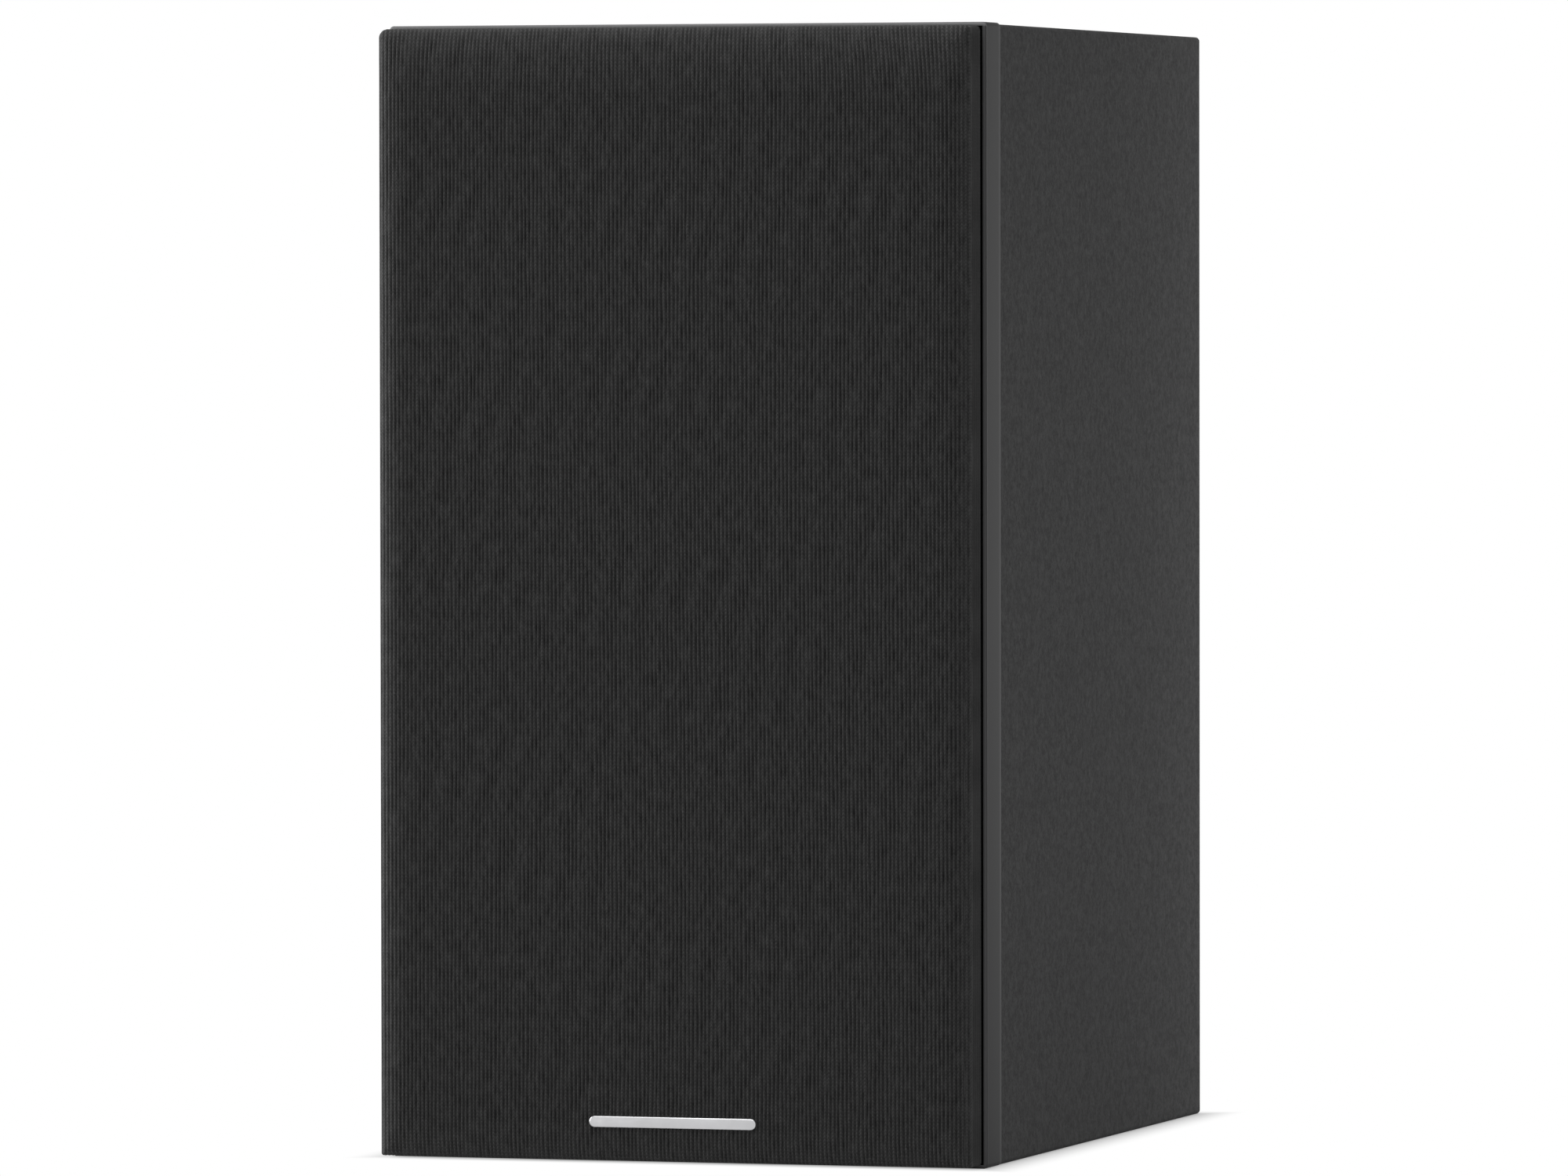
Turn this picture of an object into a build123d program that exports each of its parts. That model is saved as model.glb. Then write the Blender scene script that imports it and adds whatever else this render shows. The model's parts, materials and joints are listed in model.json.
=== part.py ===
from build123d import *

import os
from math import radians, sqrt, tan

# Two-way bookshelf speaker: wrapped cabinet, cone woofer, dome tweeter, rear port and cloth grille.
# Frame: origin at the middle of the base, +Z up, the front faces -Y. All sizes are in millimetres.
# The layout grows outwards from the woofer's cone: its surround, basket and ring set the baffle.

os.makedirs("parts", exist_ok=True)

# Fits
CLEARANCE = 0.1  # between pieces that are glued, screwed or pressed together
RUNNING_GAP = 0.6  # between a voice coil and the metal on each side of it

# Cabinet
CABINET_DEPTH = 212  # front face of the baffle to the rear edge of the sleeve
PANEL_THICKNESS = 15
WRAP_RADIUS = 1.2  # folded corners of the wrapped sleeve
REAR_THICKNESS = 15
REAR_INSET = 1  # rear panel behind the sleeve's rear edge
REAR_REBATE = 5  # step in the sleeve that takes the rear panel
BAFFLE_EDGE = 14  # thickness of the baffle outside the sleeve
BAFFLE_PLUG = 6  # thickness of the baffle inside the sleeve
BAFFLE_OVERHANG = 0.4  # the baffle stands proud of the sleeve's sides and top
BAFFLE_CORNER = 1.2
BAFFLE_FRONT_ROUND = 0.8
BAFFLE_REAR_ROUND = 1
BAFFLE_SIDE_MARGIN = 12.5  # woofer ring to the side of the baffle
BAFFLE_BOTTOM_MARGIN = 30
BAFFLE_TOP_MARGIN = 24
DRIVER_SPACING = 14  # woofer ring to tweeter plate
BRACE_THICKNESS = 12
BRACE_RIM = 20
BRACE_WINDOW_CORNER = 18
WADDING_THICKNESS = 12
WADDING_MARGIN = 6  # bare strip of panel round each sheet of wadding
SOFT_GAP = 0.3  # wadding to panel

# Screws of the drivers and the terminal cup
SCREW_RADIUS = 1.8
SCREW_LENGTH = 13
SCREW_HEAD_RADIUS = 3.2
SCREW_HEAD_HEIGHT = 2.2
SCREW_RECESS_WIDTH = 0.9
SCREW_RECESS_SPAN = 3.6
SCREW_RECESS_DEPTH = 1.1

# Woofer, from its cone outwards and then to the rear
CONE_DIAMETER = 94
CONE_DEPTH = 24
CONE_THICKNESS = 0.8
CONE_RIM = 3  # flat rim under the surround
SURROUND_ROLL_WIDTH = 10
SURROUND_THICKNESS = 0.8
SURROUND_LAP = 3  # outer lap glued to the basket
SURROUND_SIDE_GAP = 0.5  # foot of the roll to the basket's wall
BASKET_WALL = 2
BASKET_HOLE_GAP = 0.5  # basket's wall to the hole in the baffle
BASKET_THROAT = 12  # depth of the basket's straight wall
BASKET_FLANGE = 4  # thickness of the mounting flange
BASKET_FLANGE_SEAT = 8  # width of the flange on the baffle
BASKET_SPOKES = 6
BASKET_SPOKE_ANGLE = 24
WOOFER_GASKET = 1
RING_OVERLAP = 2  # trim ring beyond the flange
RING_HEIGHT = 3.5
RING_WALL = 1.2
RING_SHOULDER = 2.5  # round of the ring's outer edge
RING_BEVEL = 1  # inside the shoulder
RING_LIP_GAP = 0.6  # foot of the surround's roll to the ring
RING_LIP_CHAMFER = 0.5
COIL_RADIUS = 12.7  # outside of the coil former
FORMER_WALL = 0.25
FORMER_FRONT = 3  # former in front of the cone's neck
FORMER_TAIL = 1  # former behind the coil
COIL_WALL = 0.6
COIL_LENGTH = 12
DUST_CAP_RADIUS = 18
DUST_CAP_RISE = 6
DUST_CAP_THICKNESS = 0.8
SPIDER_SETBACK = 6  # neck of the cone to the spider
SPIDER_THICKNESS = 0.6
SPIDER_WAVES = 4
SPIDER_WAVE_HEIGHT = 1.4
SPIDER_RADIUS = 45
SPIDER_LEDGE = 7  # width of the basket's shelf under the spider's edge
SPIDER_EDGE_GAP = 1  # spider's edge to the basket, and its waves to the shelf
SPIDER_COLLAR = 2  # flat collar round the former
BASKET_CUP_DEPTH = 10  # shelf to the basket's floor
BASKET_FLOOR_GAP = 1  # hole in the floor round the coil's gap
TOP_PLATE_THICKNESS = 5
MAGNET_RADIUS = 45
MAGNET_BORE = 22
MAGNET_THICKNESS = 15
MAGNET_EDGE_ROUND = 1
BACK_PLATE_RADIUS = 42
BACK_PLATE_THICKNESS = 5
POLE_VENT = 4

# Tweeter
TWEETER_DIAMETER = 92
TWEETER_SCREWS = 4
TWEETER_SCREW_ANGLE = 45
TWEETER_PLATE_THICKNESS = 4
TWEETER_PLATE_CHAMFER = 0.5
TWEETER_SEAT = 8  # width of the plate on the baffle
TWEETER_GASKET = 0.8
TWEETER_DISH_RADIUS = 34
TWEETER_DISH_DEPTH = 1.6
DOME_RADIUS = 12.5
DOME_RISE = 5.5
DOME_THICKNESS = 0.3
DOME_ROLL_WIDTH = 2.2
DOME_ROLL_RISE = 0.88
DOME_LAP = 1.6
DOME_SEAT_GAP = 0.7  # lap to the plate round it
TWEETER_FORMER_WALL = 0.2
TWEETER_COIL_WALL = 0.45
TWEETER_COIL_LENGTH = 4.5
TWEETER_COIL_SETBACK = 1  # coil behind the middle of its gap
TWEETER_TOP_PLATE = 4
TWEETER_MAGNET_RADIUS = 36
TWEETER_MAGNET_BORE = 18
TWEETER_MAGNET_THICKNESS = 10
TWEETER_MAGNET_ROUND = 0.8
TWEETER_BACK_PLATE_RADIUS = 34
TWEETER_BACK_PLATE = 4
TWEETER_VENT = 5
CHAMBER_RADIUS = 22
CHAMBER_LENGTH = 22
CHAMBER_WALL = 2
GUARD_SHELF = 2.6  # rim of the guard on the tweeter plate
GUARD_THICKNESS = 0.8
GUARD_FOOT_INSET = 0.6  # dome of the guard from the inner edge of its rim
GUARD_RISE = 6.5
GUARD_HOLE_RADIUS = 1.25
GUARD_HOLE_RINGS = 3
GUARD_HOLE_PITCH = 4.2

# Solder tags of both drivers
TAG_STRIP_WIDTH = 24
TAG_STRIP_HEIGHT = 17
TAG_STRIP_THICKNESS = 1.5
TAG_STRIP_CORNER = 1.5
TAG_STRIP_SHELF = 1  # strip's edge from the inner edge of what carries it
TAG_SPACING = 12
TAG_WIDTH = 6.3
TAG_THICKNESS = 0.8
TAG_LENGTH = 10
TAG_DROP = 12  # tag below the top of its strip

# Reflex port
PORT_DROP = 85  # port axis below the top of the cabinet
PORT_RADIUS = 19
PORT_WALL = 2
PORT_LENGTH = 108
PORT_FLARE = 12
PORT_FLANGE_RADIUS = 34
PORT_FLANGE = 2
PORT_BODY_RADIUS = 27
PORT_SOCKET_DEPTH = 12

# Terminal cup and binding posts
TERMINAL_RISE = 72  # middle of the cup above the base
CUP_DEPTH = 26
CUP_MOUTH_WIDTH = 76
CUP_MOUTH_HEIGHT = 72
CUP_DRAFT = 5  # the floor is this much smaller on each side
CUP_CORNER = 8
CUP_WALL = 2.5
CUP_FLOOR = 3
CUP_FLANGE = 2.5
CUP_FLANGE_RIM = 10
CUP_SCREW_INSET = 5
CUP_GASKET = 1
POST_SPACING_X = 19.05
POST_SPACING_Z = 24
POST_RADIUS = 3
POST_LENGTH = 23
POST_TAIL = 13.5
POST_CHAMFER = 0.4
POST_COLLAR_RADIUS = 5.5
POST_COLLAR = 2.5
SOCKET_RADIUS = 2
SOCKET_DEPTH = 14
WIRE_HOLE_RADIUS = 1.75
WIRE_HOLE_RISE = 6
LINK_WIDTH = 10
LINK_THICKNESS = 0.8
CLAMP_WASHER_RADIUS = 5.5
CLAMP_WASHER = 1
KNOB_RADIUS = 6.4
KNOB_LENGTH = 20
KNOB_SKIRT = 3
KNOB_SKIRT_RADIUS = 6.9
KNOB_FLUTES = 12
KNOB_FLUTE_RADIUS = 0.9
KNOB_CHAMFER = 0.8
NUT_ACROSS_FLATS = 10
NUT_THICKNESS = 5
LOCK_NUT_THICKNESS = 3

# Crossover
BOARD_WIDTH = 100
BOARD_HEIGHT = 84
BOARD_THICKNESS = 1.6
BOARD_CORNER = 3
PARTS_OFFSET = 33  # columns of components each side of the posts
COIL_PITCH = 40
COIL_OUTER_RADIUS = 16
COIL_BORE_RADIUS = 6
COIL_HEIGHT = 20
COIL_EDGE_ROUND = 1.5
CAPACITOR_RADIUS = 8
CAPACITOR_LENGTH = 30
CAPACITOR_PITCH = 20
CAPACITOR_EDGE_ROUND = 1
CAPACITOR_INSET = 24  # middle of the capacitors from the board's top edge
RESISTOR_LENGTH = 24
RESISTOR_WIDTH = 9
RESISTOR_PITCH = 14
RESISTOR_INSET = 22  # middle of the resistors from the board's bottom edge
CABLE_RADIUS = 1.1
CABLE_BOARD_INSET = 8  # cable holes from the board's top and bottom edges
CABLE_SPREAD = 4  # how far each wire bows outwards
CABLE_DIP = 7  # how far the woofer's cable hangs below its holes

# Grille
GRILLE_INSET = 1  # inside the outline of the baffle
GRILLE_THICKNESS = 10.3
GRILLE_STANDOFF = 2.2  # shadow gap in front of the baffle
GRILLE_CORNER = 2.2
GRILLE_EDGE_ROUND = 2.1
CLOTH_THICKNESS = 0.8
CLOTH_LIP = 2.5  # turned over the back of the frame
GRILLE_BAR = 8
GRILLE_WINDOW_CORNER = 10
BOSS_RADIUS = 3.5
GRILLE_MAGNET_RADIUS = 2.5
GRILLE_MAGNET_THICKNESS = 3
BAFFLE_MAGNET_RADIUS = 4
BAFFLE_MAGNET_THICKNESS = 5
BAFFLE_MAGNET_SKIN = 2  # of baffle in front of each hidden magnet

# Woofer radii, worked out from the cone to the ring
cone_radius = CONE_DIAMETER / 2
roll_radius = SURROUND_ROLL_WIDTH / 2
roll_centre = cone_radius + roll_radius
surround_foot = cone_radius + SURROUND_ROLL_WIDTH
basket_inner = surround_foot + SURROUND_SIDE_GAP
basket_outer = basket_inner + BASKET_WALL
woofer_hole = basket_outer + BASKET_HOLE_GAP
flange_radius = woofer_hole + BASKET_FLANGE_SEAT
woofer_screw_circle = woofer_hole + BASKET_FLANGE_SEAT / 2
ring_radius = flange_radius + RING_OVERLAP

# Tweeter radii
tweeter_radius = TWEETER_DIAMETER / 2
tweeter_hole = tweeter_radius - TWEETER_SEAT
tweeter_screw_circle = tweeter_radius - TWEETER_SEAT / 2
dome_foot = DOME_RADIUS + DOME_ROLL_WIDTH
dome_lap_radius = dome_foot + DOME_LAP
guard_inner = dome_lap_radius + DOME_SEAT_GAP
guard_outer = guard_inner + GUARD_SHELF

# Cabinet outline, from the drivers and the margins round them
cabinet_width = 2 * (ring_radius + BAFFLE_SIDE_MARGIN)
woofer_z = BAFFLE_BOTTOM_MARGIN + ring_radius
tweeter_z = woofer_z + ring_radius + DRIVER_SPACING + tweeter_radius
cabinet_height = tweeter_z + tweeter_radius + BAFFLE_TOP_MARGIN
middle_z = cabinet_height / 2
sleeve_width = cabinet_width - 2 * BAFFLE_OVERHANG
sleeve_height = cabinet_height - BAFFLE_OVERHANG
sleeve_middle_z = sleeve_height / 2
inner_width = sleeve_width - 2 * PANEL_THICKNESS
inner_height = sleeve_height - 2 * PANEL_THICKNESS

# Stations from front to rear
front_y = -CABINET_DEPTH / 2
rear_y = CABINET_DEPTH / 2
sleeve_y = front_y + BAFFLE_EDGE
plug_y = sleeve_y + BAFFLE_PLUG
rear_face_y = rear_y - REAR_INSET
rear_inside_y = rear_face_y - REAR_THICKNESS
grille_back_y = front_y - GRILLE_STANDOFF
grille_front_y = grille_back_y - GRILLE_THICKNESS

# Woofer stations
neck_y = front_y + CONE_DEPTH
spider_y = neck_y + SPIDER_SETBACK
basket_floor_y = spider_y + BASKET_CUP_DEPTH
top_plate_y = basket_floor_y + BASKET_WALL
magnet_y = top_plate_y + TOP_PLATE_THICKNESS
back_plate_y = magnet_y + MAGNET_THICKNESS
coil_middle_y = top_plate_y + TOP_PLATE_THICKNESS / 2
coil_outer = COIL_RADIUS + COIL_WALL
gap_radius = coil_outer + RUNNING_GAP
pole_radius = COIL_RADIUS - FORMER_WALL - RUNNING_GAP

# Tweeter stations
dome_y = front_y + TWEETER_PLATE_THICKNESS
tweeter_magnet_y = dome_y + TWEETER_TOP_PLATE
tweeter_back_y = tweeter_magnet_y + TWEETER_MAGNET_THICKNESS
chamber_y = tweeter_back_y + TWEETER_BACK_PLATE
tweeter_coil_outer = DOME_RADIUS + TWEETER_COIL_WALL
tweeter_pole_radius = DOME_RADIUS - TWEETER_FORMER_WALL - RUNNING_GAP

# Rear stations
port_z = cabinet_height - PORT_DROP
terminal_z = TERMINAL_RISE
cup_face_y = rear_face_y + CUP_GASKET
cup_floor_y = rear_face_y - CUP_DEPTH
cup_inside_y = cup_floor_y - CUP_FLOOR
link_y = cup_floor_y + POST_COLLAR
washer_y = link_y + LINK_THICKNESS
knob_y = washer_y + CLAMP_WASHER
board_y = cup_inside_y - NUT_THICKNESS - BOARD_THICKNESS  # component side of the board

REARWARD = (0, 1, 0)
FORWARD = (0, -1, 0)
woofer_axis = Axis((0, 0, woofer_z), REARWARD)
tweeter_axis = Axis((0, 0, tweeter_z), REARWARD)
port_axis = Axis((0, 0, port_z), REARWARD)
woofer_section = Plane.XY.offset(woofer_z)
tweeter_section = Plane.XY.offset(tweeter_z)
port_section = Plane.XY.offset(port_z)


def upright(y):
    """Upright plane at depth y: its own x and y are the speaker's X and Z."""
    return Plane.XZ.offset(-y)


def ring_section(inner, outer, front, rear):
    """Rectangle between two radii and two depths, for a revolved ring."""
    with Locations(((inner + outer) / 2, (front + rear) / 2)):
        Rectangle(outer - inner, rear - front)


def cap_arc(radius, foot_y, rise):
    """Arc of a spherical cap, from its foot to its crown on the axis."""
    sphere = (radius**2 + rise**2) / (2 * rise)
    middle = sqrt(sphere**2 - (radius / 2) ** 2) - (sphere - rise)
    return ThreePointArc((radius, foot_y), (radius / 2, foot_y - middle), (0, foot_y - rise))


def write(piece, label):
    """Names a finished piece and writes it to its own file."""
    piece.part.label = label
    export_step(piece.part, f"parts/{label}.step")


# Cabinet: a sleeve of four mitred panels, made as one ring and cut apart along its mitres
with BuildPart() as sleeve:
    with BuildSketch(upright(sleeve_y)):
        with Locations((0, sleeve_middle_z)):
            Rectangle(sleeve_width, sleeve_height)
    extrude(amount=rear_y - sleeve_y, dir=REARWARD)
    fillet(sleeve.edges().filter_by(Axis.Y), WRAP_RADIUS)
    with BuildSketch(upright(sleeve_y)):
        with Locations((0, sleeve_middle_z)):
            Rectangle(inner_width, inner_height)
    extrude(amount=rear_y - sleeve_y, dir=REARWARD, mode=Mode.SUBTRACT)
    with BuildSketch(upright(rear_inside_y)):
        with Locations((0, sleeve_middle_z)):
            Rectangle(inner_width + 2 * REAR_REBATE, inner_height + 2 * REAR_REBATE)
    extrude(amount=rear_y - rear_inside_y, dir=REARWARD, mode=Mode.SUBTRACT)

sleeve_x, inner_x = sleeve_width / 2, inner_width / 2
low_z, high_z = PANEL_THICKNESS, sleeve_height - PANEL_THICKNESS
MITRED_PANELS = {
    "top_panel": [
        (-sleeve_x, sleeve_height),
        (sleeve_x, sleeve_height),
        (inner_x, high_z),
        (-inner_x, high_z),
    ],
    "bottom_panel": [(-sleeve_x, 0), (sleeve_x, 0), (inner_x, low_z), (-inner_x, low_z)],
    "left_side_panel": [
        (-sleeve_x, 0),
        (-sleeve_x, sleeve_height),
        (-inner_x, high_z),
        (-inner_x, low_z),
    ],
    "right_side_panel": [
        (sleeve_x, 0),
        (sleeve_x, sleeve_height),
        (inner_x, high_z),
        (inner_x, low_z),
    ],
}

for label, corners in MITRED_PANELS.items():
    with BuildPart() as panel:
        add(sleeve.part)
        with BuildSketch(upright(sleeve_y)):
            with BuildLine():
                Polyline(*corners, close=True)
            make_face()
        extrude(amount=rear_y - sleeve_y, dir=REARWARD, mode=Mode.INTERSECT)
    write(panel, label)

# Places that several pieces share
grille_frame_x = cabinet_width / 2 - GRILLE_INSET - CLOTH_THICKNESS - CLEARANCE
grille_frame_low = GRILLE_INSET + CLOTH_THICKNESS + CLEARANCE
grille_frame_high = cabinet_height - grille_frame_low
cross_bar_z = woofer_z + ring_radius + DRIVER_SPACING / 2
catch_x = grille_frame_x - GRILLE_BAR
catch_places = [
    (x, z)
    for x in (-catch_x, catch_x)
    for z in (grille_frame_low + GRILLE_BAR, cross_bar_z, grille_frame_high - GRILLE_BAR)
]
cup_width = CUP_MOUTH_WIDTH + 2 * CUP_WALL
cup_height = CUP_MOUTH_HEIGHT + 2 * CUP_WALL
cup_flange_width = cup_width + 2 * CUP_FLANGE_RIM
cup_flange_height = cup_height + 2 * CUP_FLANGE_RIM
cup_screw_pitch = (
    cup_flange_width - 2 * CUP_SCREW_INSET,
    cup_flange_height - 2 * CUP_SCREW_INSET,
)

with BuildPart() as rear_panel:
    with BuildSketch(upright(rear_inside_y)):
        with Locations((0, sleeve_middle_z)):
            Rectangle(
                inner_width + 2 * (REAR_REBATE - CLEARANCE),
                inner_height + 2 * (REAR_REBATE - CLEARANCE),
            )
        with Locations((0, port_z)):
            Circle(PORT_BODY_RADIUS + CLEARANCE, mode=Mode.SUBTRACT)
        with Locations((0, terminal_z)):
            RectangleRounded(
                cup_width + 2 * CLEARANCE,
                cup_height + 2 * CLEARANCE,
                CUP_CORNER + CUP_WALL,
                mode=Mode.SUBTRACT,
            )
            with GridLocations(*cup_screw_pitch, 2, 2):
                Circle(SCREW_RADIUS + CLEARANCE, mode=Mode.SUBTRACT)
    extrude(amount=REAR_THICKNESS, dir=REARWARD)
    with BuildSketch(upright(rear_face_y)):
        with Locations((0, port_z)):
            Circle(PORT_FLANGE_RADIUS + CLEARANCE)
    extrude(amount=PORT_FLANGE, dir=FORWARD, mode=Mode.SUBTRACT)
write(rear_panel, "rear_panel")

# Front baffle: a rounded plate on the sleeve's front edge, with a plug inside the sleeve
woofer_recess = BASKET_FLANGE + WOOFER_GASKET
tweeter_recess = TWEETER_PLATE_THICKNESS + TWEETER_GASKET
with BuildPart() as front_baffle:
    with BuildSketch(upright(front_y)):
        with Locations((0, middle_z)):
            RectangleRounded(cabinet_width, cabinet_height, BAFFLE_CORNER)
    extrude(amount=BAFFLE_EDGE, dir=REARWARD)
    fillet(front_baffle.faces().sort_by(Axis.Y)[0].edges(), BAFFLE_FRONT_ROUND)
    fillet(front_baffle.faces().sort_by(Axis.Y)[-1].edges(), BAFFLE_REAR_ROUND)
    with BuildSketch(upright(sleeve_y)):
        with Locations((0, sleeve_middle_z)):
            Rectangle(inner_width - 2 * CLEARANCE, inner_height - 2 * CLEARANCE)
    extrude(amount=BAFFLE_PLUG, dir=REARWARD)
    with BuildSketch(upright(front_y)):
        with Locations((0, woofer_z)):
            Circle(flange_radius + CLEARANCE)
    extrude(amount=woofer_recess, dir=REARWARD, mode=Mode.SUBTRACT)
    with BuildSketch(upright(front_y)):
        with Locations((0, tweeter_z)):
            Circle(tweeter_radius + CLEARANCE)
    extrude(amount=tweeter_recess, dir=REARWARD, mode=Mode.SUBTRACT)
    with BuildSketch(upright(front_y)):
        with Locations((0, woofer_z)):
            Circle(woofer_hole)
            with PolarLocations(woofer_screw_circle, BASKET_SPOKES):
                Circle(SCREW_RADIUS + CLEARANCE)
        with Locations((0, tweeter_z)):
            Circle(tweeter_hole)
            with PolarLocations(tweeter_screw_circle, TWEETER_SCREWS, TWEETER_SCREW_ANGLE):
                Circle(SCREW_RADIUS + CLEARANCE)
    extrude(amount=plug_y - front_y, dir=REARWARD, mode=Mode.SUBTRACT)
    with BuildSketch(upright(front_y + BAFFLE_MAGNET_SKIN)):
        with Locations(*catch_places):
            Circle(BAFFLE_MAGNET_RADIUS + CLEARANCE)
    extrude(amount=BAFFLE_EDGE - BAFFLE_MAGNET_SKIN, dir=REARWARD, mode=Mode.SUBTRACT)
write(front_baffle, "front_baffle")

with BuildPart() as baffle_magnets:
    with BuildSketch(upright(front_y + BAFFLE_MAGNET_SKIN)):
        with Locations(*catch_places):
            Circle(BAFFLE_MAGNET_RADIUS)
    extrude(amount=BAFFLE_MAGNET_THICKNESS, dir=REARWARD)
write(baffle_magnets, "baffle_magnets")

# Window brace: a shelf across the cabinet between the woofer and the tweeter
brace_z = (woofer_z + basket_outer + tweeter_z - TWEETER_MAGNET_RADIUS) / 2
brace_width = inner_width - 2 * CLEARANCE
brace_length = rear_inside_y - plug_y - 2 * CLEARANCE
with BuildPart() as window_brace:
    with BuildSketch(Plane.XY.offset(brace_z - BRACE_THICKNESS / 2)):
        with Locations((0, (plug_y + rear_inside_y) / 2)):
            Rectangle(brace_width, brace_length)
            RectangleRounded(
                brace_width - 2 * BRACE_RIM,
                brace_length - 2 * BRACE_RIM,
                BRACE_WINDOW_CORNER,
                mode=Mode.SUBTRACT,
            )
    extrude(amount=BRACE_THICKNESS)
write(window_brace, "window_brace")

# Wadding: one sheet on each side panel under the brace, and one under the top panel
wadding_front = back_plate_y
wadding_rear = rear_inside_y - WADDING_MARGIN
wadding_low = PANEL_THICKNESS + WADDING_MARGIN
wadding_high = brace_z - BRACE_THICKNESS / 2 - WADDING_MARGIN
with BuildPart() as damping_wadding:
    for side in (-1, 1):
        with Locations(
            (
                side * (inner_x - SOFT_GAP - WADDING_THICKNESS / 2),
                (wadding_front + wadding_rear) / 2,
                (wadding_low + wadding_high) / 2,
            )
        ):
            Box(WADDING_THICKNESS, wadding_rear - wadding_front, wadding_high - wadding_low)
    with Locations(
        (
            0,
            (wadding_front + wadding_rear) / 2,
            high_z - SOFT_GAP - WADDING_THICKNESS / 2,
        )
    ):
        Box(
            inner_width - 2 * WADDING_MARGIN,
            wadding_rear - wadding_front,
            WADDING_THICKNESS,
        )
    fillet(damping_wadding.edges(), WADDING_THICKNESS / 4)
write(damping_wadding, "damping_wadding")

# Reflex port: a flared mouth let into the rear panel, and a tube with a rolled inner end
socket_y = rear_face_y - PORT_FLARE - PORT_WALL
tube_front_y = rear_face_y - PORT_LENGTH
tube_radius = PORT_RADIUS + PORT_WALL
socket_radius = tube_radius + CLEARANCE
sleeve_end_y = socket_y - PORT_SOCKET_DEPTH
panel_bore_end_y = rear_inside_y + PORT_WALL
with BuildPart() as port_mouth:
    with BuildSketch(port_section):
        with BuildLine():
            flare = RadiusArc(
                (PORT_RADIUS + PORT_FLARE, rear_face_y),
                (PORT_RADIUS, rear_face_y - PORT_FLARE),
                -PORT_FLARE,
            )
            Polyline(
                flare @ 1,
                (PORT_RADIUS, socket_y),
                (socket_radius, socket_y),
                (socket_radius, sleeve_end_y),
                (socket_radius + PORT_WALL, sleeve_end_y),
                (PORT_BODY_RADIUS, panel_bore_end_y),
                (PORT_BODY_RADIUS, rear_face_y - PORT_FLANGE),
                (PORT_FLANGE_RADIUS, rear_face_y - PORT_FLANGE),
                (PORT_FLANGE_RADIUS, rear_face_y),
                flare @ 0,
            )
        make_face()
    revolve(axis=port_axis)
write(port_mouth, "port_mouth")

roll = PORT_FLARE / 2
with BuildPart() as port_tube:
    with BuildSketch(port_section):
        with BuildLine():
            inner_roll = RadiusArc(
                (PORT_RADIUS, tube_front_y + roll),
                (PORT_RADIUS + roll, tube_front_y),
                -roll,
            )
            outer_roll = RadiusArc(
                (PORT_RADIUS + roll, tube_front_y + PORT_WALL),
                (tube_radius, tube_front_y + roll),
                roll - PORT_WALL,
            )
            Line(inner_roll @ 1, outer_roll @ 0)
            Polyline(
                outer_roll @ 1,
                (tube_radius, socket_y),
                (PORT_RADIUS, socket_y),
                inner_roll @ 0,
            )
        make_face()
    revolve(axis=port_axis)
write(port_tube, "port_tube")

# Woofer basket: flange, straight throat, spoked cone, spider shelf and floor
ledge_outer = SPIDER_RADIUS + SPIDER_EDGE_GAP
ledge_inner = SPIDER_RADIUS - SPIDER_LEDGE
cup_radius = ledge_inner + BASKET_WALL
floor_radius = gap_radius + BASKET_FLOOR_GAP
throat_y = front_y + BASKET_THROAT
with BuildPart() as woofer_basket:
    with BuildSketch(woofer_section):
        with BuildLine():
            Polyline(
                (basket_inner, front_y),
                (flange_radius, front_y),
                (flange_radius, front_y + BASKET_FLANGE),
                (basket_outer, front_y + BASKET_FLANGE),
                (basket_outer, throat_y),
                (ledge_outer + BASKET_WALL, spider_y),
                (ledge_outer + BASKET_WALL, spider_y + BASKET_WALL),
                (cup_radius, spider_y + BASKET_WALL),
                (cup_radius, top_plate_y),
                (floor_radius, top_plate_y),
                (floor_radius, basket_floor_y),
                (ledge_inner, basket_floor_y),
                (ledge_inner, spider_y),
                (ledge_outer, spider_y),
                (basket_inner, throat_y),
                close=True,
            )
        make_face()
    revolve(axis=woofer_axis)
    with BuildSketch(upright(throat_y + BASKET_WALL)):
        with Locations((0, woofer_z)):
            with PolarLocations(0, BASKET_SPOKES, start_angle=BASKET_SPOKE_ANGLE / 2):
                with BuildLine():
                    window_side = PolarLine((0, 0), woofer_hole, 0)
                    window_end = PolarLine((0, 0), woofer_hole, 360 / BASKET_SPOKES - BASKET_SPOKE_ANGLE)
                    Line(window_side @ 1, window_end @ 1)
                make_face()
    extrude(amount=spider_y - throat_y - 2 * BASKET_WALL, dir=REARWARD, mode=Mode.SUBTRACT)
    with BuildSketch(upright(front_y)):
        with Locations((0, woofer_z)):
            with PolarLocations(woofer_screw_circle, BASKET_SPOKES):
                Circle(SCREW_RADIUS + CLEARANCE)
    extrude(amount=BASKET_FLANGE, dir=REARWARD, mode=Mode.SUBTRACT)
write(woofer_basket, "woofer_basket")

with BuildPart() as woofer_gasket:
    with BuildSketch(upright(front_y + BASKET_FLANGE)):
        with Locations((0, woofer_z)):
            Circle(flange_radius)
            Circle(woofer_hole, mode=Mode.SUBTRACT)
            with PolarLocations(woofer_screw_circle, BASKET_SPOKES):
                Circle(SCREW_RADIUS + CLEARANCE, mode=Mode.SUBTRACT)
    extrude(amount=WOOFER_GASKET, dir=REARWARD)
write(woofer_gasket, "woofer_gasket")

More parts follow.
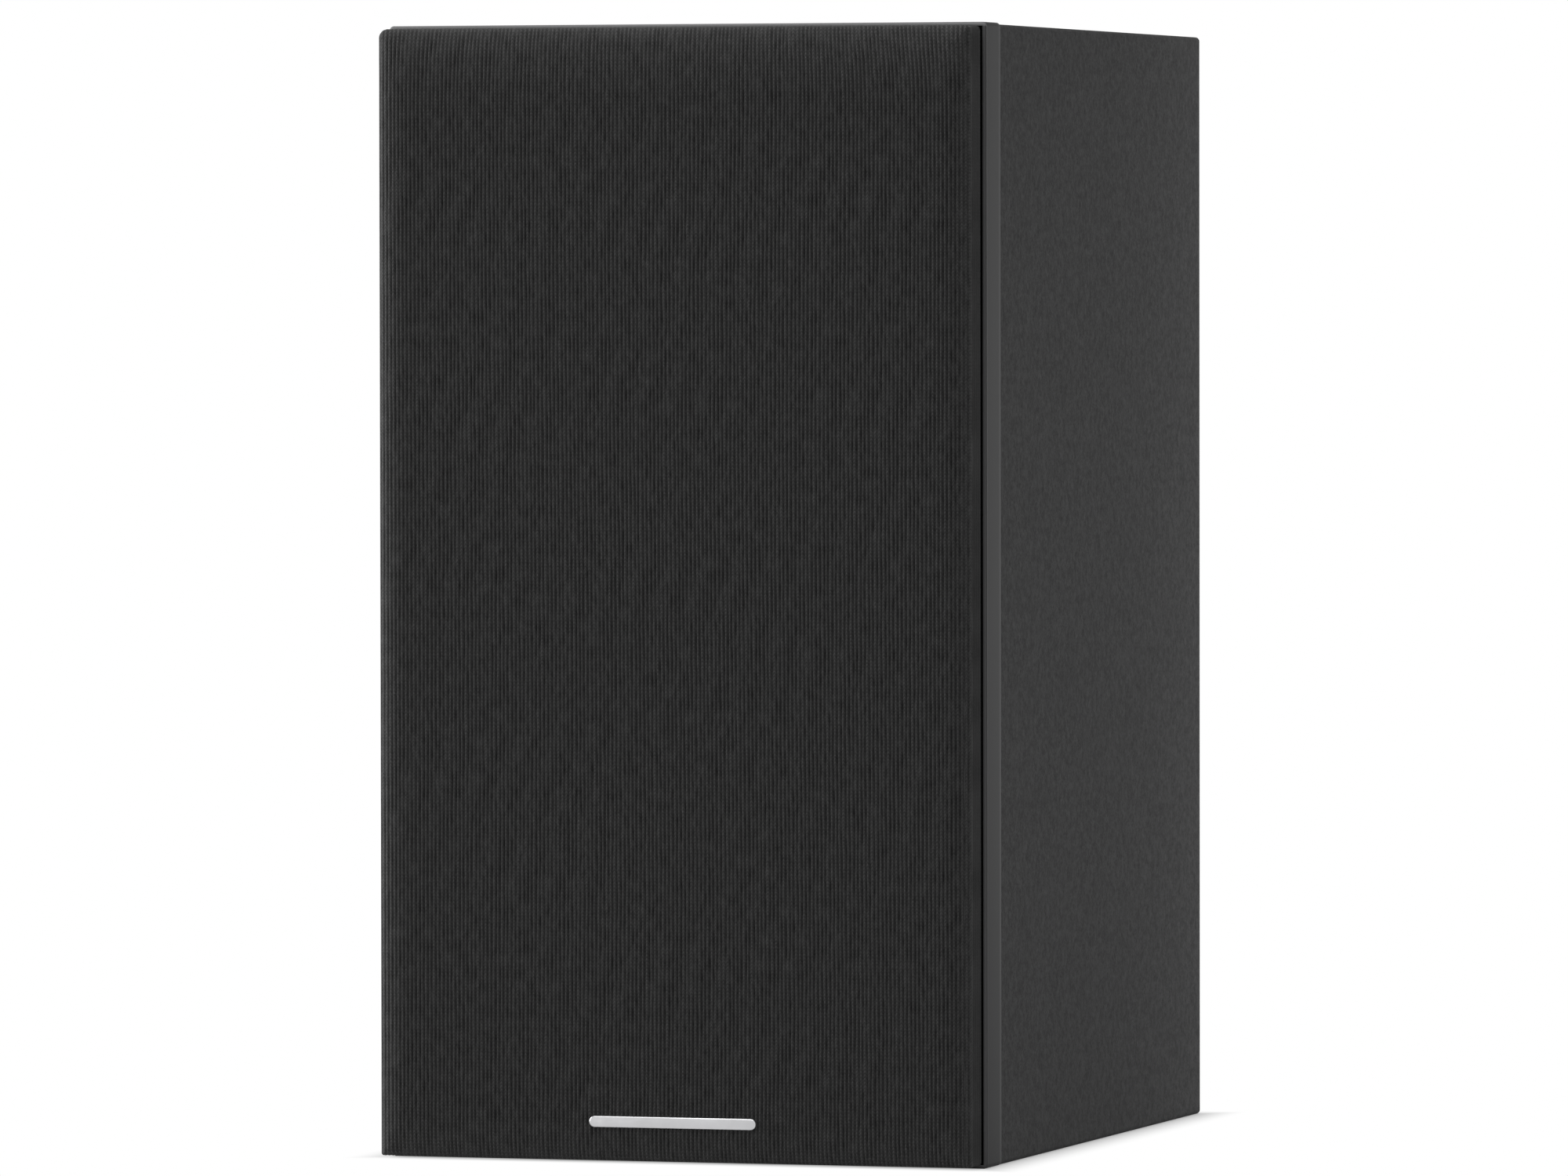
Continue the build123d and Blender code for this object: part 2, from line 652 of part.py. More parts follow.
# Trim ring: a channel over the flange and its screws, with a rounded outer shoulder
ring_front_y = front_y - RING_HEIGHT
ring_lip_radius = surround_foot + RING_LIP_GAP
ring_foot_y = front_y - SURROUND_THICKNESS
with BuildPart() as woofer_trim_ring:
    with BuildSketch(woofer_section):
        with BuildLine():
            shoulder = RadiusArc(
                (ring_radius - RING_SHOULDER, ring_front_y),
                (ring_radius, ring_front_y + RING_SHOULDER),
                -RING_SHOULDER,
            )
            Polyline(
                shoulder @ 1,
                (ring_radius, front_y),
                (ring_radius - RING_WALL, front_y),
                (ring_radius - RING_WALL, ring_front_y + RING_HEIGHT / 2),
                (ring_radius - RING_WALL - RING_BEVEL, ring_front_y + RING_WALL),
                (ring_lip_radius + RING_WALL, ring_front_y + RING_WALL),
                (ring_lip_radius + RING_WALL, ring_foot_y),
                (ring_lip_radius, ring_foot_y),
                (ring_lip_radius, ring_front_y + RING_LIP_CHAMFER),
                (ring_lip_radius + RING_LIP_CHAMFER, ring_front_y),
                shoulder @ 0,
            )
        make_face()
    revolve(axis=woofer_axis)
write(woofer_trim_ring, "woofer_trim_ring")

# Woofer motor
with BuildPart() as woofer_top_plate:
    with BuildSketch(woofer_section):
        ring_section(gap_radius, cup_radius, top_plate_y, magnet_y)
    revolve(axis=woofer_axis)
write(woofer_top_plate, "woofer_top_plate")

with BuildPart() as woofer_magnet:
    with BuildSketch(woofer_section):
        ring_section(MAGNET_BORE, MAGNET_RADIUS, magnet_y, back_plate_y)
    revolve(axis=woofer_axis)
    fillet(woofer_magnet.edges().filter_by(GeomType.CIRCLE), MAGNET_EDGE_ROUND)
write(woofer_magnet, "woofer_magnet")

with BuildPart() as woofer_yoke:
    with BuildSketch(woofer_section):
        ring_section(POLE_VENT, BACK_PLATE_RADIUS, back_plate_y, back_plate_y + BACK_PLATE_THICKNESS)
        ring_section(POLE_VENT, pole_radius, top_plate_y, back_plate_y)
    revolve(axis=woofer_axis)
write(woofer_yoke, "woofer_yoke")

# Woofer moving parts: cone, dust cap, former and coil, with the surround and spider that guide them
rim_inner = cone_radius - CONE_RIM
neck_radius = COIL_RADIUS + CLEARANCE
cone_slope = CONE_DEPTH / (rim_inner - neck_radius)
with BuildPart() as woofer_cone:
    with BuildSketch(woofer_section):
        with BuildLine():
            Polyline(
                (cone_radius, front_y),
                (rim_inner, front_y),
                (neck_radius, neck_y),
                (neck_radius, neck_y + CONE_THICKNESS),
                (rim_inner, front_y + CONE_THICKNESS),
                (cone_radius, front_y + CONE_THICKNESS),
                close=True,
            )
        make_face()
    revolve(axis=woofer_axis)
write(woofer_cone, "woofer_cone")

cap_foot_y = front_y + (rim_inner - DUST_CAP_RADIUS) * cone_slope - CLEARANCE
with BuildPart() as woofer_dust_cap:
    with BuildSketch(woofer_section):
        with BuildLine():
            cap_front = cap_arc(DUST_CAP_RADIUS, cap_foot_y - DUST_CAP_THICKNESS, DUST_CAP_RISE)
            cap_back = cap_arc(DUST_CAP_RADIUS, cap_foot_y, DUST_CAP_RISE)
            Line(cap_front @ 0, cap_back @ 0)
            Line(cap_front @ 1, cap_back @ 1)
        make_face()
    revolve(axis=woofer_axis)
write(woofer_dust_cap, "woofer_dust_cap")

coil_front_y = coil_middle_y - COIL_LENGTH / 2
coil_rear_y = coil_middle_y + COIL_LENGTH / 2
with BuildPart() as woofer_coil_former:
    with BuildSketch(woofer_section):
        ring_section(
            COIL_RADIUS - FORMER_WALL,
            COIL_RADIUS,
            neck_y - FORMER_FRONT,
            coil_rear_y + FORMER_TAIL,
        )
    revolve(axis=woofer_axis)
write(woofer_coil_former, "woofer_coil_former")

with BuildPart() as woofer_voice_coil:
    with BuildSketch(woofer_section):
        ring_section(COIL_RADIUS + CLEARANCE / 2, coil_outer, coil_front_y, coil_rear_y)
    revolve(axis=woofer_axis)
write(woofer_voice_coil, "woofer_voice_coil")

with BuildPart() as woofer_surround:
    with BuildSketch(woofer_section):
        with BuildLine():
            lap_y = front_y - SURROUND_THICKNESS
            inner_roll_radius = roll_radius - SURROUND_THICKNESS
            outside = ThreePointArc(
                (cone_radius, lap_y),
                (roll_centre, front_y - roll_radius),
                (surround_foot, lap_y),
            )
            inside = ThreePointArc(
                (surround_foot - SURROUND_THICKNESS, front_y),
                (roll_centre, front_y - inner_roll_radius),
                (cone_radius + SURROUND_THICKNESS, front_y),
            )
            Polyline(
                outside @ 1,
                (surround_foot + SURROUND_LAP, lap_y),
                (surround_foot + SURROUND_LAP, front_y),
                inside @ 0,
            )
            Polyline(inside @ 1, (rim_inner, front_y), (rim_inner, lap_y), outside @ 0)
        make_face()
    revolve(axis=woofer_axis)
write(woofer_surround, "woofer_surround")

# Spider: a flat rim on the basket's shelf, then waves in to a collar on the former
wave_start = COIL_RADIUS + SPIDER_COLLAR
wave_end = ledge_inner - SPIDER_EDGE_GAP
wave_step = (wave_end - wave_start) / (2 * SPIDER_WAVES)
with BuildPart() as woofer_spider:
    with BuildSketch(woofer_section):
        with BuildLine():
            for face_y in (spider_y - SPIDER_THICKNESS, spider_y):
                for step in range(2 * SPIDER_WAVES):
                    lift = -SPIDER_WAVE_HEIGHT if step % 2 else SPIDER_WAVE_HEIGHT
                    start_radius = wave_start + step * wave_step
                    ThreePointArc(
                        (start_radius, face_y),
                        (start_radius + wave_step / 2, face_y - lift / 2),
                        (start_radius + wave_step, face_y),
                    )
                Line((wave_end, face_y), (SPIDER_RADIUS, face_y))
                Line((neck_radius, face_y), (wave_start, face_y))
            Line((SPIDER_RADIUS, spider_y - SPIDER_THICKNESS), (SPIDER_RADIUS, spider_y))
            Line((neck_radius, spider_y - SPIDER_THICKNESS), (neck_radius, spider_y))
        make_face()
    revolve(axis=woofer_axis)
write(woofer_spider, "woofer_spider")

# Tweeter: dished plate with a guard, dome with its roll, and a vented motor with a rear chamber
shelf_y = front_y + TWEETER_DISH_DEPTH + GUARD_THICKNESS
with BuildPart() as tweeter_faceplate:
    with BuildSketch(tweeter_section):
        with BuildLine():
            Polyline(
                (tweeter_radius, dome_y),
                (tweeter_radius, front_y + TWEETER_PLATE_CHAMFER),
                (tweeter_radius - TWEETER_PLATE_CHAMFER, front_y),
                (TWEETER_DISH_RADIUS, front_y),
                (guard_outer, front_y + TWEETER_DISH_DEPTH),
                (guard_outer, shelf_y),
                (guard_inner, shelf_y),
                (guard_inner, dome_y),
                close=True,
            )
        make_face()
    revolve(axis=tweeter_axis)
    with Locations(upright(front_y)):
        with Locations((0, tweeter_z)):
            with PolarLocations(tweeter_screw_circle, TWEETER_SCREWS, TWEETER_SCREW_ANGLE):
                CounterBoreHole(
                    SCREW_RADIUS + CLEARANCE,
                    SCREW_HEAD_RADIUS + CLEARANCE,
                    SCREW_HEAD_HEIGHT,
                    TWEETER_PLATE_THICKNESS,
                )
write(tweeter_faceplate, "tweeter_faceplate")

with BuildPart() as tweeter_gasket:
    with BuildSketch(upright(dome_y)):
        with Locations((0, tweeter_z)):
            Circle(tweeter_radius)
            Circle(tweeter_hole, mode=Mode.SUBTRACT)
            with PolarLocations(tweeter_screw_circle, TWEETER_SCREWS, TWEETER_SCREW_ANGLE):
                Circle(SCREW_RADIUS + CLEARANCE, mode=Mode.SUBTRACT)
    extrude(amount=TWEETER_GASKET, dir=REARWARD)
write(tweeter_gasket, "tweeter_gasket")

with BuildPart() as tweeter_guard:
    with BuildSketch(tweeter_section):
        with BuildLine():
            guard_rim = guard_outer - CLEARANCE
            guard_foot = guard_inner + GUARD_FOOT_INSET
            rim_y = shelf_y - GUARD_THICKNESS
            guard_front = cap_arc(guard_foot + GUARD_THICKNESS, rim_y, GUARD_RISE)
            guard_back = cap_arc(guard_foot, shelf_y, GUARD_RISE)
            Line(guard_front @ 1, guard_back @ 1)
            Polyline(guard_back @ 0, (guard_rim, shelf_y), (guard_rim, rim_y), guard_front @ 0)
        make_face()
    revolve(axis=tweeter_axis)
    with BuildSketch(upright(shelf_y)):
        with Locations((0, tweeter_z)):
            Circle(GUARD_HOLE_RADIUS)
            for ring in range(1, GUARD_HOLE_RINGS + 1):
                with PolarLocations(ring * GUARD_HOLE_PITCH, 6 * ring):
                    Circle(GUARD_HOLE_RADIUS)
    extrude(amount=2 * GUARD_RISE, dir=FORWARD, mode=Mode.SUBTRACT)
write(tweeter_guard, "tweeter_guard")

with BuildPart() as tweeter_dome:
    with BuildSketch(tweeter_section):
        with BuildLine():
            dome_back_y = dome_y - CLEARANCE
            dome_front_y = dome_back_y - DOME_THICKNESS
            dome_out = cap_arc(DOME_RADIUS, dome_front_y, DOME_RISE)
            dome_in = cap_arc(DOME_RADIUS, dome_back_y, DOME_RISE)
            Line(dome_out @ 0, dome_in @ 0)
            Line(dome_out @ 1, dome_in @ 1)
        make_face()
    revolve(axis=tweeter_axis)
write(tweeter_dome, "tweeter_dome")

with BuildPart() as tweeter_surround:
    with BuildSketch(tweeter_section):
        with BuildLine():
            roll_inner = DOME_RADIUS + CLEARANCE
            roll_middle = (roll_inner + dome_foot) / 2
            roll_front = ThreePointArc(
                (roll_inner, dome_y - DOME_THICKNESS),
                (roll_middle, dome_y - DOME_THICKNESS - DOME_ROLL_RISE),
                (dome_foot, dome_y - DOME_THICKNESS),
            )
            roll_back = ThreePointArc(
                (roll_inner, dome_y),
                (roll_middle, dome_y - DOME_ROLL_RISE),
                (dome_foot, dome_y),
            )
            Line(roll_front @ 0, roll_back @ 0)
            Polyline(
                roll_front @ 1,
                (dome_lap_radius, dome_y - DOME_THICKNESS),
                (dome_lap_radius, dome_y),
                roll_back @ 1,
            )
        make_face()
    revolve(axis=tweeter_axis)
write(tweeter_surround, "tweeter_surround")

former_inner = DOME_RADIUS - TWEETER_FORMER_WALL
with BuildPart() as tweeter_voice_coil:
    with BuildSketch(tweeter_section):
        gap_middle_y = dome_y + TWEETER_TOP_PLATE / 2
        coil_y = gap_middle_y + TWEETER_COIL_SETBACK - TWEETER_COIL_LENGTH / 2
        ring_section(former_inner, DOME_RADIUS, dome_y - CLEARANCE, coil_y + TWEETER_COIL_LENGTH)
        ring_section(former_inner, tweeter_coil_outer, coil_y, coil_y + TWEETER_COIL_LENGTH)
    revolve(axis=tweeter_axis)
write(tweeter_voice_coil, "tweeter_voice_coil")

with BuildPart() as tweeter_top_plate:
    with BuildSketch(tweeter_section):
        ring_section(
            tweeter_coil_outer + RUNNING_GAP,
            TWEETER_BACK_PLATE_RADIUS,
            dome_y,
            tweeter_magnet_y,
        )
    revolve(axis=tweeter_axis)
write(tweeter_top_plate, "tweeter_top_plate")

with BuildPart() as tweeter_magnet:
    with BuildSketch(tweeter_section):
        ring_section(
            TWEETER_MAGNET_BORE,
            TWEETER_MAGNET_RADIUS,
            tweeter_magnet_y,
            tweeter_back_y,
        )
    revolve(axis=tweeter_axis)
    fillet(tweeter_magnet.edges().filter_by(GeomType.CIRCLE), TWEETER_MAGNET_ROUND)
write(tweeter_magnet, "tweeter_magnet")

with BuildPart() as tweeter_yoke:
    with BuildSketch(tweeter_section):
        ring_section(TWEETER_VENT, TWEETER_BACK_PLATE_RADIUS, tweeter_back_y, chamber_y)
        ring_section(TWEETER_VENT, tweeter_pole_radius, dome_y, tweeter_back_y)
    revolve(axis=tweeter_axis)
write(tweeter_yoke, "tweeter_yoke")

with BuildPart() as tweeter_rear_chamber:
    with BuildSketch(tweeter_section):
        ring_section(0, CHAMBER_RADIUS, chamber_y, chamber_y + CHAMBER_LENGTH)
    revolve(axis=tweeter_axis)
    fillet(tweeter_rear_chamber.edges().sort_by(Axis.Y)[-1], CHAMBER_WALL * 2)
    offset(
        amount=-CHAMBER_WALL,
        openings=tweeter_rear_chamber.faces().sort_by(Axis.Y)[0],
    )
write(tweeter_rear_chamber, "tweeter_rear_chamber")


def screw_set(label, seat_y, outward, places):
    """Pan-head wood screws with a cross recess; outward is the way that their heads face."""
    inward = REARWARD if outward == FORWARD else FORWARD
    with BuildPart() as screws:
        with BuildSketch(upright(seat_y)):
            with Locations(*places):
                Circle(SCREW_HEAD_RADIUS)
        extrude(amount=SCREW_HEAD_HEIGHT, dir=outward)
        head_y = seat_y + SCREW_HEAD_HEIGHT * outward[1]
        with BuildSketch(upright(head_y)):
            with Locations(*places):
                Rectangle(SCREW_RECESS_SPAN, SCREW_RECESS_WIDTH)
                Rectangle(SCREW_RECESS_WIDTH, SCREW_RECESS_SPAN)
        extrude(amount=SCREW_RECESS_DEPTH, dir=inward, mode=Mode.SUBTRACT)
        with BuildSketch(upright(seat_y)):
            with Locations(*places):
                Circle(SCREW_RADIUS)
        extrude(amount=SCREW_LENGTH, dir=inward)
    write(screws, label)


def places_of(locations, z):
    """Centres of a pattern of locations about the point (0, z) of an upright plane."""
    return [(place.position.X, place.position.Y + z) for place in locations]


screw_set(
    "woofer_screws",
    front_y,
    FORWARD,
    places_of(PolarLocations(woofer_screw_circle, BASKET_SPOKES).local_locations, woofer_z),
)
screw_set(
    "tweeter_screws",
    front_y + SCREW_HEAD_HEIGHT,
    FORWARD,
    places_of(
        PolarLocations(tweeter_screw_circle, TWEETER_SCREWS, TWEETER_SCREW_ANGLE).local_locations,
        tweeter_z,
    ),
)
screw_set(
    "terminal_screws",
    cup_face_y + CUP_FLANGE,
    REARWARD,
    places_of(GridLocations(*cup_screw_pitch, 2, 2).local_locations, terminal_z),
)

# Solder tags: a fibre strip behind each driver, with two brass blades
woofer_strip_y = spider_y + BASKET_WALL
woofer_strip_top = woofer_z - cup_radius - TAG_STRIP_SHELF
tweeter_strip_top = tweeter_z - CHAMBER_RADIUS - TAG_STRIP_SHELF
strip_places = [(woofer_strip_y, woofer_strip_top), (chamber_y, tweeter_strip_top)]
with BuildPart() as driver_tag_strips:
    for strip_y, strip_top in strip_places:
        with BuildSketch(upright(strip_y)):
            with Locations((0, strip_top - TAG_STRIP_HEIGHT / 2)):
                RectangleRounded(TAG_STRIP_WIDTH, TAG_STRIP_HEIGHT, TAG_STRIP_CORNER)
        extrude(amount=TAG_STRIP_THICKNESS, dir=REARWARD)
write(driver_tag_strips, "driver_tag_strips")

with BuildPart() as driver_tags:
    for strip_y, strip_top in strip_places:
        with BuildSketch(upright(strip_y + TAG_STRIP_THICKNESS)):
            with Locations((0, strip_top - TAG_DROP)):
                with GridLocations(TAG_SPACING, 0, 2, 1):
                    Rectangle(TAG_WIDTH, TAG_THICKNESS)
        extrude(amount=TAG_LENGTH, dir=REARWARD)
write(driver_tags, "driver_tags")

# Terminal cup: a drafted tray let into the rear panel, with a flange, a gasket and four posts
post_places = places_of(
    GridLocations(POST_SPACING_X, POST_SPACING_Z, 2, 2).local_locations,
    terminal_z,
)
with BuildPart() as terminal_cup:
    with BuildSketch(upright(cup_face_y)):
        with Locations((0, terminal_z)):
            RectangleRounded(cup_flange_width, cup_flange_height, CUP_CORNER)
    extrude(amount=CUP_FLANGE, dir=REARWARD)
    with BuildSketch(upright(cup_face_y)):
        with Locations((0, terminal_z)):
            RectangleRounded(cup_width, cup_height, CUP_CORNER + CUP_WALL)
    with BuildSketch(upright(cup_inside_y)):
        with Locations((0, terminal_z)):
            RectangleRounded(
                cup_width - 2 * CUP_DRAFT,
                cup_height - 2 * CUP_DRAFT,
                CUP_CORNER + CUP_WALL,
            )
    loft()
    with BuildSketch(upright(cup_face_y + CUP_FLANGE)):
        with Locations((0, terminal_z)):
            RectangleRounded(CUP_MOUTH_WIDTH, CUP_MOUTH_HEIGHT, CUP_CORNER)
    with BuildSketch(upright(cup_floor_y)):
        with Locations((0, terminal_z)):
            RectangleRounded(
                CUP_MOUTH_WIDTH - 2 * CUP_DRAFT,
                CUP_MOUTH_HEIGHT - 2 * CUP_DRAFT,
                CUP_CORNER,
            )
    loft(mode=Mode.SUBTRACT)
    fillet(terminal_cup.faces().sort_by(Axis.Y)[-1].outer_wire().edges(), CUP_FLANGE / 3)
    with BuildSketch(upright(cup_inside_y)):
        with Locations(*post_places):
            Circle(POST_RADIUS + CLEARANCE)
    extrude(amount=CUP_FLOOR, dir=REARWARD, mode=Mode.SUBTRACT)
    with BuildSketch(upright(cup_face_y)):
        with Locations((0, terminal_z)):
            with GridLocations(*cup_screw_pitch, 2, 2):
                Circle(SCREW_RADIUS + CLEARANCE)
    extrude(amount=CUP_FLANGE, dir=REARWARD, mode=Mode.SUBTRACT)
write(terminal_cup, "terminal_cup")

with BuildPart() as terminal_gasket:
    with BuildSketch(upright(rear_face_y)):
        with Locations((0, terminal_z)):
            RectangleRounded(cup_flange_width, cup_flange_height, CUP_CORNER)
            RectangleRounded(
                cup_width + 2 * CLEARANCE,
                cup_height + 2 * CLEARANCE,
                CUP_CORNER + CUP_WALL,
                mode=Mode.SUBTRACT,
            )
            with GridLocations(*cup_screw_pitch, 2, 2):
                Circle(SCREW_RADIUS + CLEARANCE, mode=Mode.SUBTRACT)
    extrude(amount=CUP_GASKET, dir=REARWARD)
write(terminal_gasket, "terminal_gasket")

# Binding posts: a stud through the floor with a collar, a plug socket and a cross hole for bare wire
post_end_y = cup_floor_y + POST_LENGTH
with BuildPart() as binding_posts:
    with BuildSketch(upright(cup_inside_y - POST_TAIL)):
        with Locations(*post_places):
            Circle(POST_RADIUS)
    extrude(amount=post_end_y - cup_inside_y + POST_TAIL, dir=REARWARD)
    chamfer(binding_posts.faces().sort_by(Axis.Y)[-4:].edges(), POST_CHAMFER)
    with BuildSketch(upright(cup_floor_y)):
        with Locations(*post_places):
            Circle(POST_COLLAR_RADIUS)
    extrude(amount=POST_COLLAR, dir=REARWARD)
    with BuildSketch(upright(post_end_y)):
        with Locations(*post_places):
            Circle(SOCKET_RADIUS)
    extrude(amount=SOCKET_DEPTH, dir=FORWARD, mode=Mode.SUBTRACT)
    with BuildSketch(Plane.YZ):
        with Locations(*[(cup_floor_y + WIRE_HOLE_RISE, z) for x, z in post_places if x > 0]):
            Circle(WIRE_HOLE_RADIUS)
    extrude(amount=cabinet_width, both=True, mode=Mode.SUBTRACT)
write(binding_posts, "binding_posts")

with BuildPart() as post_nuts:
    for nut_y, thickness in (
        (cup_inside_y - NUT_THICKNESS, NUT_THICKNESS),
        (board_y - LOCK_NUT_THICKNESS, LOCK_NUT_THICKNESS),
    ):
        with BuildSketch(upright(nut_y)):
            with Locations(*post_places):
                RegularPolygon(NUT_ACROSS_FLATS / 2, 6, major_radius=False)
                Circle(POST_RADIUS + CLEARANCE, mode=Mode.SUBTRACT)
        extrude(amount=thickness, dir=REARWARD)
write(post_nuts, "post_nuts")

with BuildPart() as jumper_links:
    with BuildSketch(upright(link_y)):
        with Locations((0, terminal_z)):
            with GridLocations(POST_SPACING_X, 0, 2, 1):
                SlotCenterToCenter(POST_SPACING_Z, LINK_WIDTH, rotation=90)
        with Locations(*post_places):
            Circle(POST_RADIUS + CLEARANCE, mode=Mode.SUBTRACT)
    extrude(amount=LINK_THICKNESS, dir=REARWARD)
write(jumper_links, "jumper_links")

for number, place in enumerate(post_places, start=1):
    with BuildPart() as clamp_washer:
        with BuildSketch(upright(washer_y)):
            with Locations(place):
                Circle(CLAMP_WASHER_RADIUS)
                Circle(POST_RADIUS + CLEARANCE, mode=Mode.SUBTRACT)
        extrude(amount=CLAMP_WASHER, dir=REARWARD)
    write(clamp_washer, f"clamp_washer_{number}")

    with BuildPart() as terminal_knob:
        with BuildSketch(upright(knob_y)):
            with Locations(place):
                Circle(KNOB_RADIUS)
        extrude(amount=KNOB_LENGTH, dir=REARWARD)
        chamfer(terminal_knob.edges().sort_by(Axis.Y)[-1], KNOB_CHAMFER)
        with BuildSketch(upright(knob_y)):
            with Locations(place):
                with PolarLocations(KNOB_RADIUS + KNOB_FLUTE_RADIUS / 3, KNOB_FLUTES):
                    Circle(KNOB_FLUTE_RADIUS)
        extrude(amount=KNOB_LENGTH, dir=REARWARD, mode=Mode.SUBTRACT)
        with BuildSketch(upright(knob_y)):
            with Locations(place):
                Circle(KNOB_SKIRT_RADIUS)
        extrude(amount=KNOB_SKIRT, dir=REARWARD)
        with BuildSketch(upright(knob_y)):
            with Locations(place):
                Circle(POST_RADIUS + CLEARANCE)
        extrude(amount=KNOB_LENGTH, dir=REARWARD, mode=Mode.SUBTRACT)
    write(terminal_knob, f"terminal_knob_{number}")

# Crossover: a board held on the post tails, with its components on the front
board_top = terminal_z + BOARD_HEIGHT / 2
board_foot = terminal_z - BOARD_HEIGHT / 2
with BuildPart() as crossover_board:
    with BuildSketch(upright(board_y)):
        with Locations((0, terminal_z)):
            RectangleRounded(BOARD_WIDTH, BOARD_HEIGHT, BOARD_CORNER)
        with Locations(*post_places):
            Circle(POST_RADIUS + CLEARANCE, mode=Mode.SUBTRACT)
    extrude(amount=BOARD_THICKNESS, dir=REARWARD)
write(crossover_board, "crossover_board")

with BuildPart() as crossover_coils:
    with BuildSketch(upright(board_y)):
        with Locations((-PARTS_OFFSET, terminal_z)):
            with GridLocations(0, COIL_PITCH, 1, 2):
                Circle(COIL_OUTER_RADIUS)
                Circle(COIL_BORE_RADIUS, mode=Mode.SUBTRACT)
    extrude(amount=COIL_HEIGHT, dir=FORWARD)
    fillet(crossover_coils.faces().sort_by(Axis.Y)[:2].edges(), COIL_EDGE_ROUND)
write(crossover_coils, "crossover_coils")

with BuildPart() as crossover_capacitors:
    with BuildSketch(Plane.YZ.offset(PARTS_OFFSET - CAPACITOR_LENGTH / 2)):
        with Locations((board_y - CAPACITOR_RADIUS - CLEARANCE, board_top - CAPACITOR_INSET)):
            with GridLocations(0, CAPACITOR_PITCH, 1, 2):
                Circle(CAPACITOR_RADIUS)
    extrude(amount=CAPACITOR_LENGTH)
    fillet(crossover_capacitors.edges().filter_by(GeomType.CIRCLE), CAPACITOR_EDGE_ROUND)
write(crossover_capacitors, "crossover_capacitors")

with BuildPart() as crossover_resistors:
    with BuildSketch(upright(board_y)):
        with Locations((PARTS_OFFSET, board_foot + RESISTOR_INSET)):
            with GridLocations(0, RESISTOR_PITCH, 1, 2):
                Rectangle(RESISTOR_LENGTH, RESISTOR_WIDTH)
    extrude(amount=RESISTOR_WIDTH, dir=FORWARD)
write(crossover_resistors, "crossover_resistors")


def bend_radii(points, share=0.45):
    """One bend radius for each inner corner of a route, as wide as its shorter run allows."""
    bends = []
    for before, corner, after in zip(points, points[1:], points[2:]):
        run_in = Vector(*corner) - Vector(*before)
        run_out = Vector(*after) - Vector(*corner)
        half_turn = run_in.get_angle(run_out) / 2
        shorter = min(run_in.length, run_out.length)
        bends.append(share * shorter / tan(radians(half_turn)))
    return bends


def cable_pair(label, route):
    """Two insulated wires side by side; the route is the right-hand one, at positive x."""
    with BuildPart() as cable:
        for side in (1, -1):
            points = [(side * x, y, z) for x, y, z in route]
            with BuildLine() as path:
                FilletPolyline(*points, radius=bend_radii(points))
            with BuildSketch(Plane(origin=points[0], z_dir=REARWARD)):
                Circle(CABLE_RADIUS)
            sweep(path=path.line)
    write(cable, label)


# Internal cables: from the solder tags to the crossover board, clear of the brace and the motor
tag_x = TAG_SPACING / 2
bow_x = tag_x + CABLE_SPREAD
half_bow_x = tag_x + CABLE_SPREAD / 2
woofer_tag_y = woofer_strip_y + TAG_STRIP_THICKNESS + TAG_LENGTH
woofer_tag_z = woofer_strip_top - TAG_DROP
woofer_hole_z = board_foot + CABLE_BOARD_INSET
woofer_dip_z = woofer_hole_z - CABLE_DIP
woofer_run = board_y - woofer_tag_y
cable_pair(
    "woofer_cable",
    [
        (tag_x, woofer_tag_y, woofer_tag_z),
        (tag_x, woofer_tag_y + 0.2 * woofer_run, woofer_tag_z),
        (bow_x, woofer_tag_y + 0.45 * woofer_run, woofer_dip_z),
        (half_bow_x, woofer_tag_y + 0.7 * woofer_run, woofer_dip_z + 0.3 * CABLE_DIP),
        (tag_x, woofer_tag_y + 0.85 * woofer_run, woofer_hole_z),
        (tag_x, board_y, woofer_hole_z),
    ],
)
tweeter_tag_y = chamber_y + TAG_STRIP_THICKNESS + TAG_LENGTH
tweeter_tag_z = tweeter_strip_top - TAG_DROP
tweeter_hole_z = board_top - CABLE_BOARD_INSET
tweeter_run = board_y - tweeter_tag_y
tweeter_fall = tweeter_tag_z - tweeter_hole_z
cable_pair(
    "tweeter_cable",
    [
        (tag_x, tweeter_tag_y, tweeter_tag_z),
        (tag_x, tweeter_tag_y + 0.16 * tweeter_run, tweeter_tag_z),
        (half_bow_x, tweeter_tag_y + 0.36 * tweeter_run, tweeter_tag_z - 0.2 * tweeter_fall),
        (bow_x, tweeter_tag_y + 0.5 * tweeter_run, tweeter_tag_z - 0.52 * tweeter_fall),
        (half_bow_x, tweeter_tag_y + 0.68 * tweeter_run, tweeter_hole_z + 0.12 * tweeter_fall),
        (tag_x, tweeter_tag_y + 0.84 * tweeter_run, tweeter_hole_z),
        (tag_x, board_y, tweeter_hole_z),
    ],
)

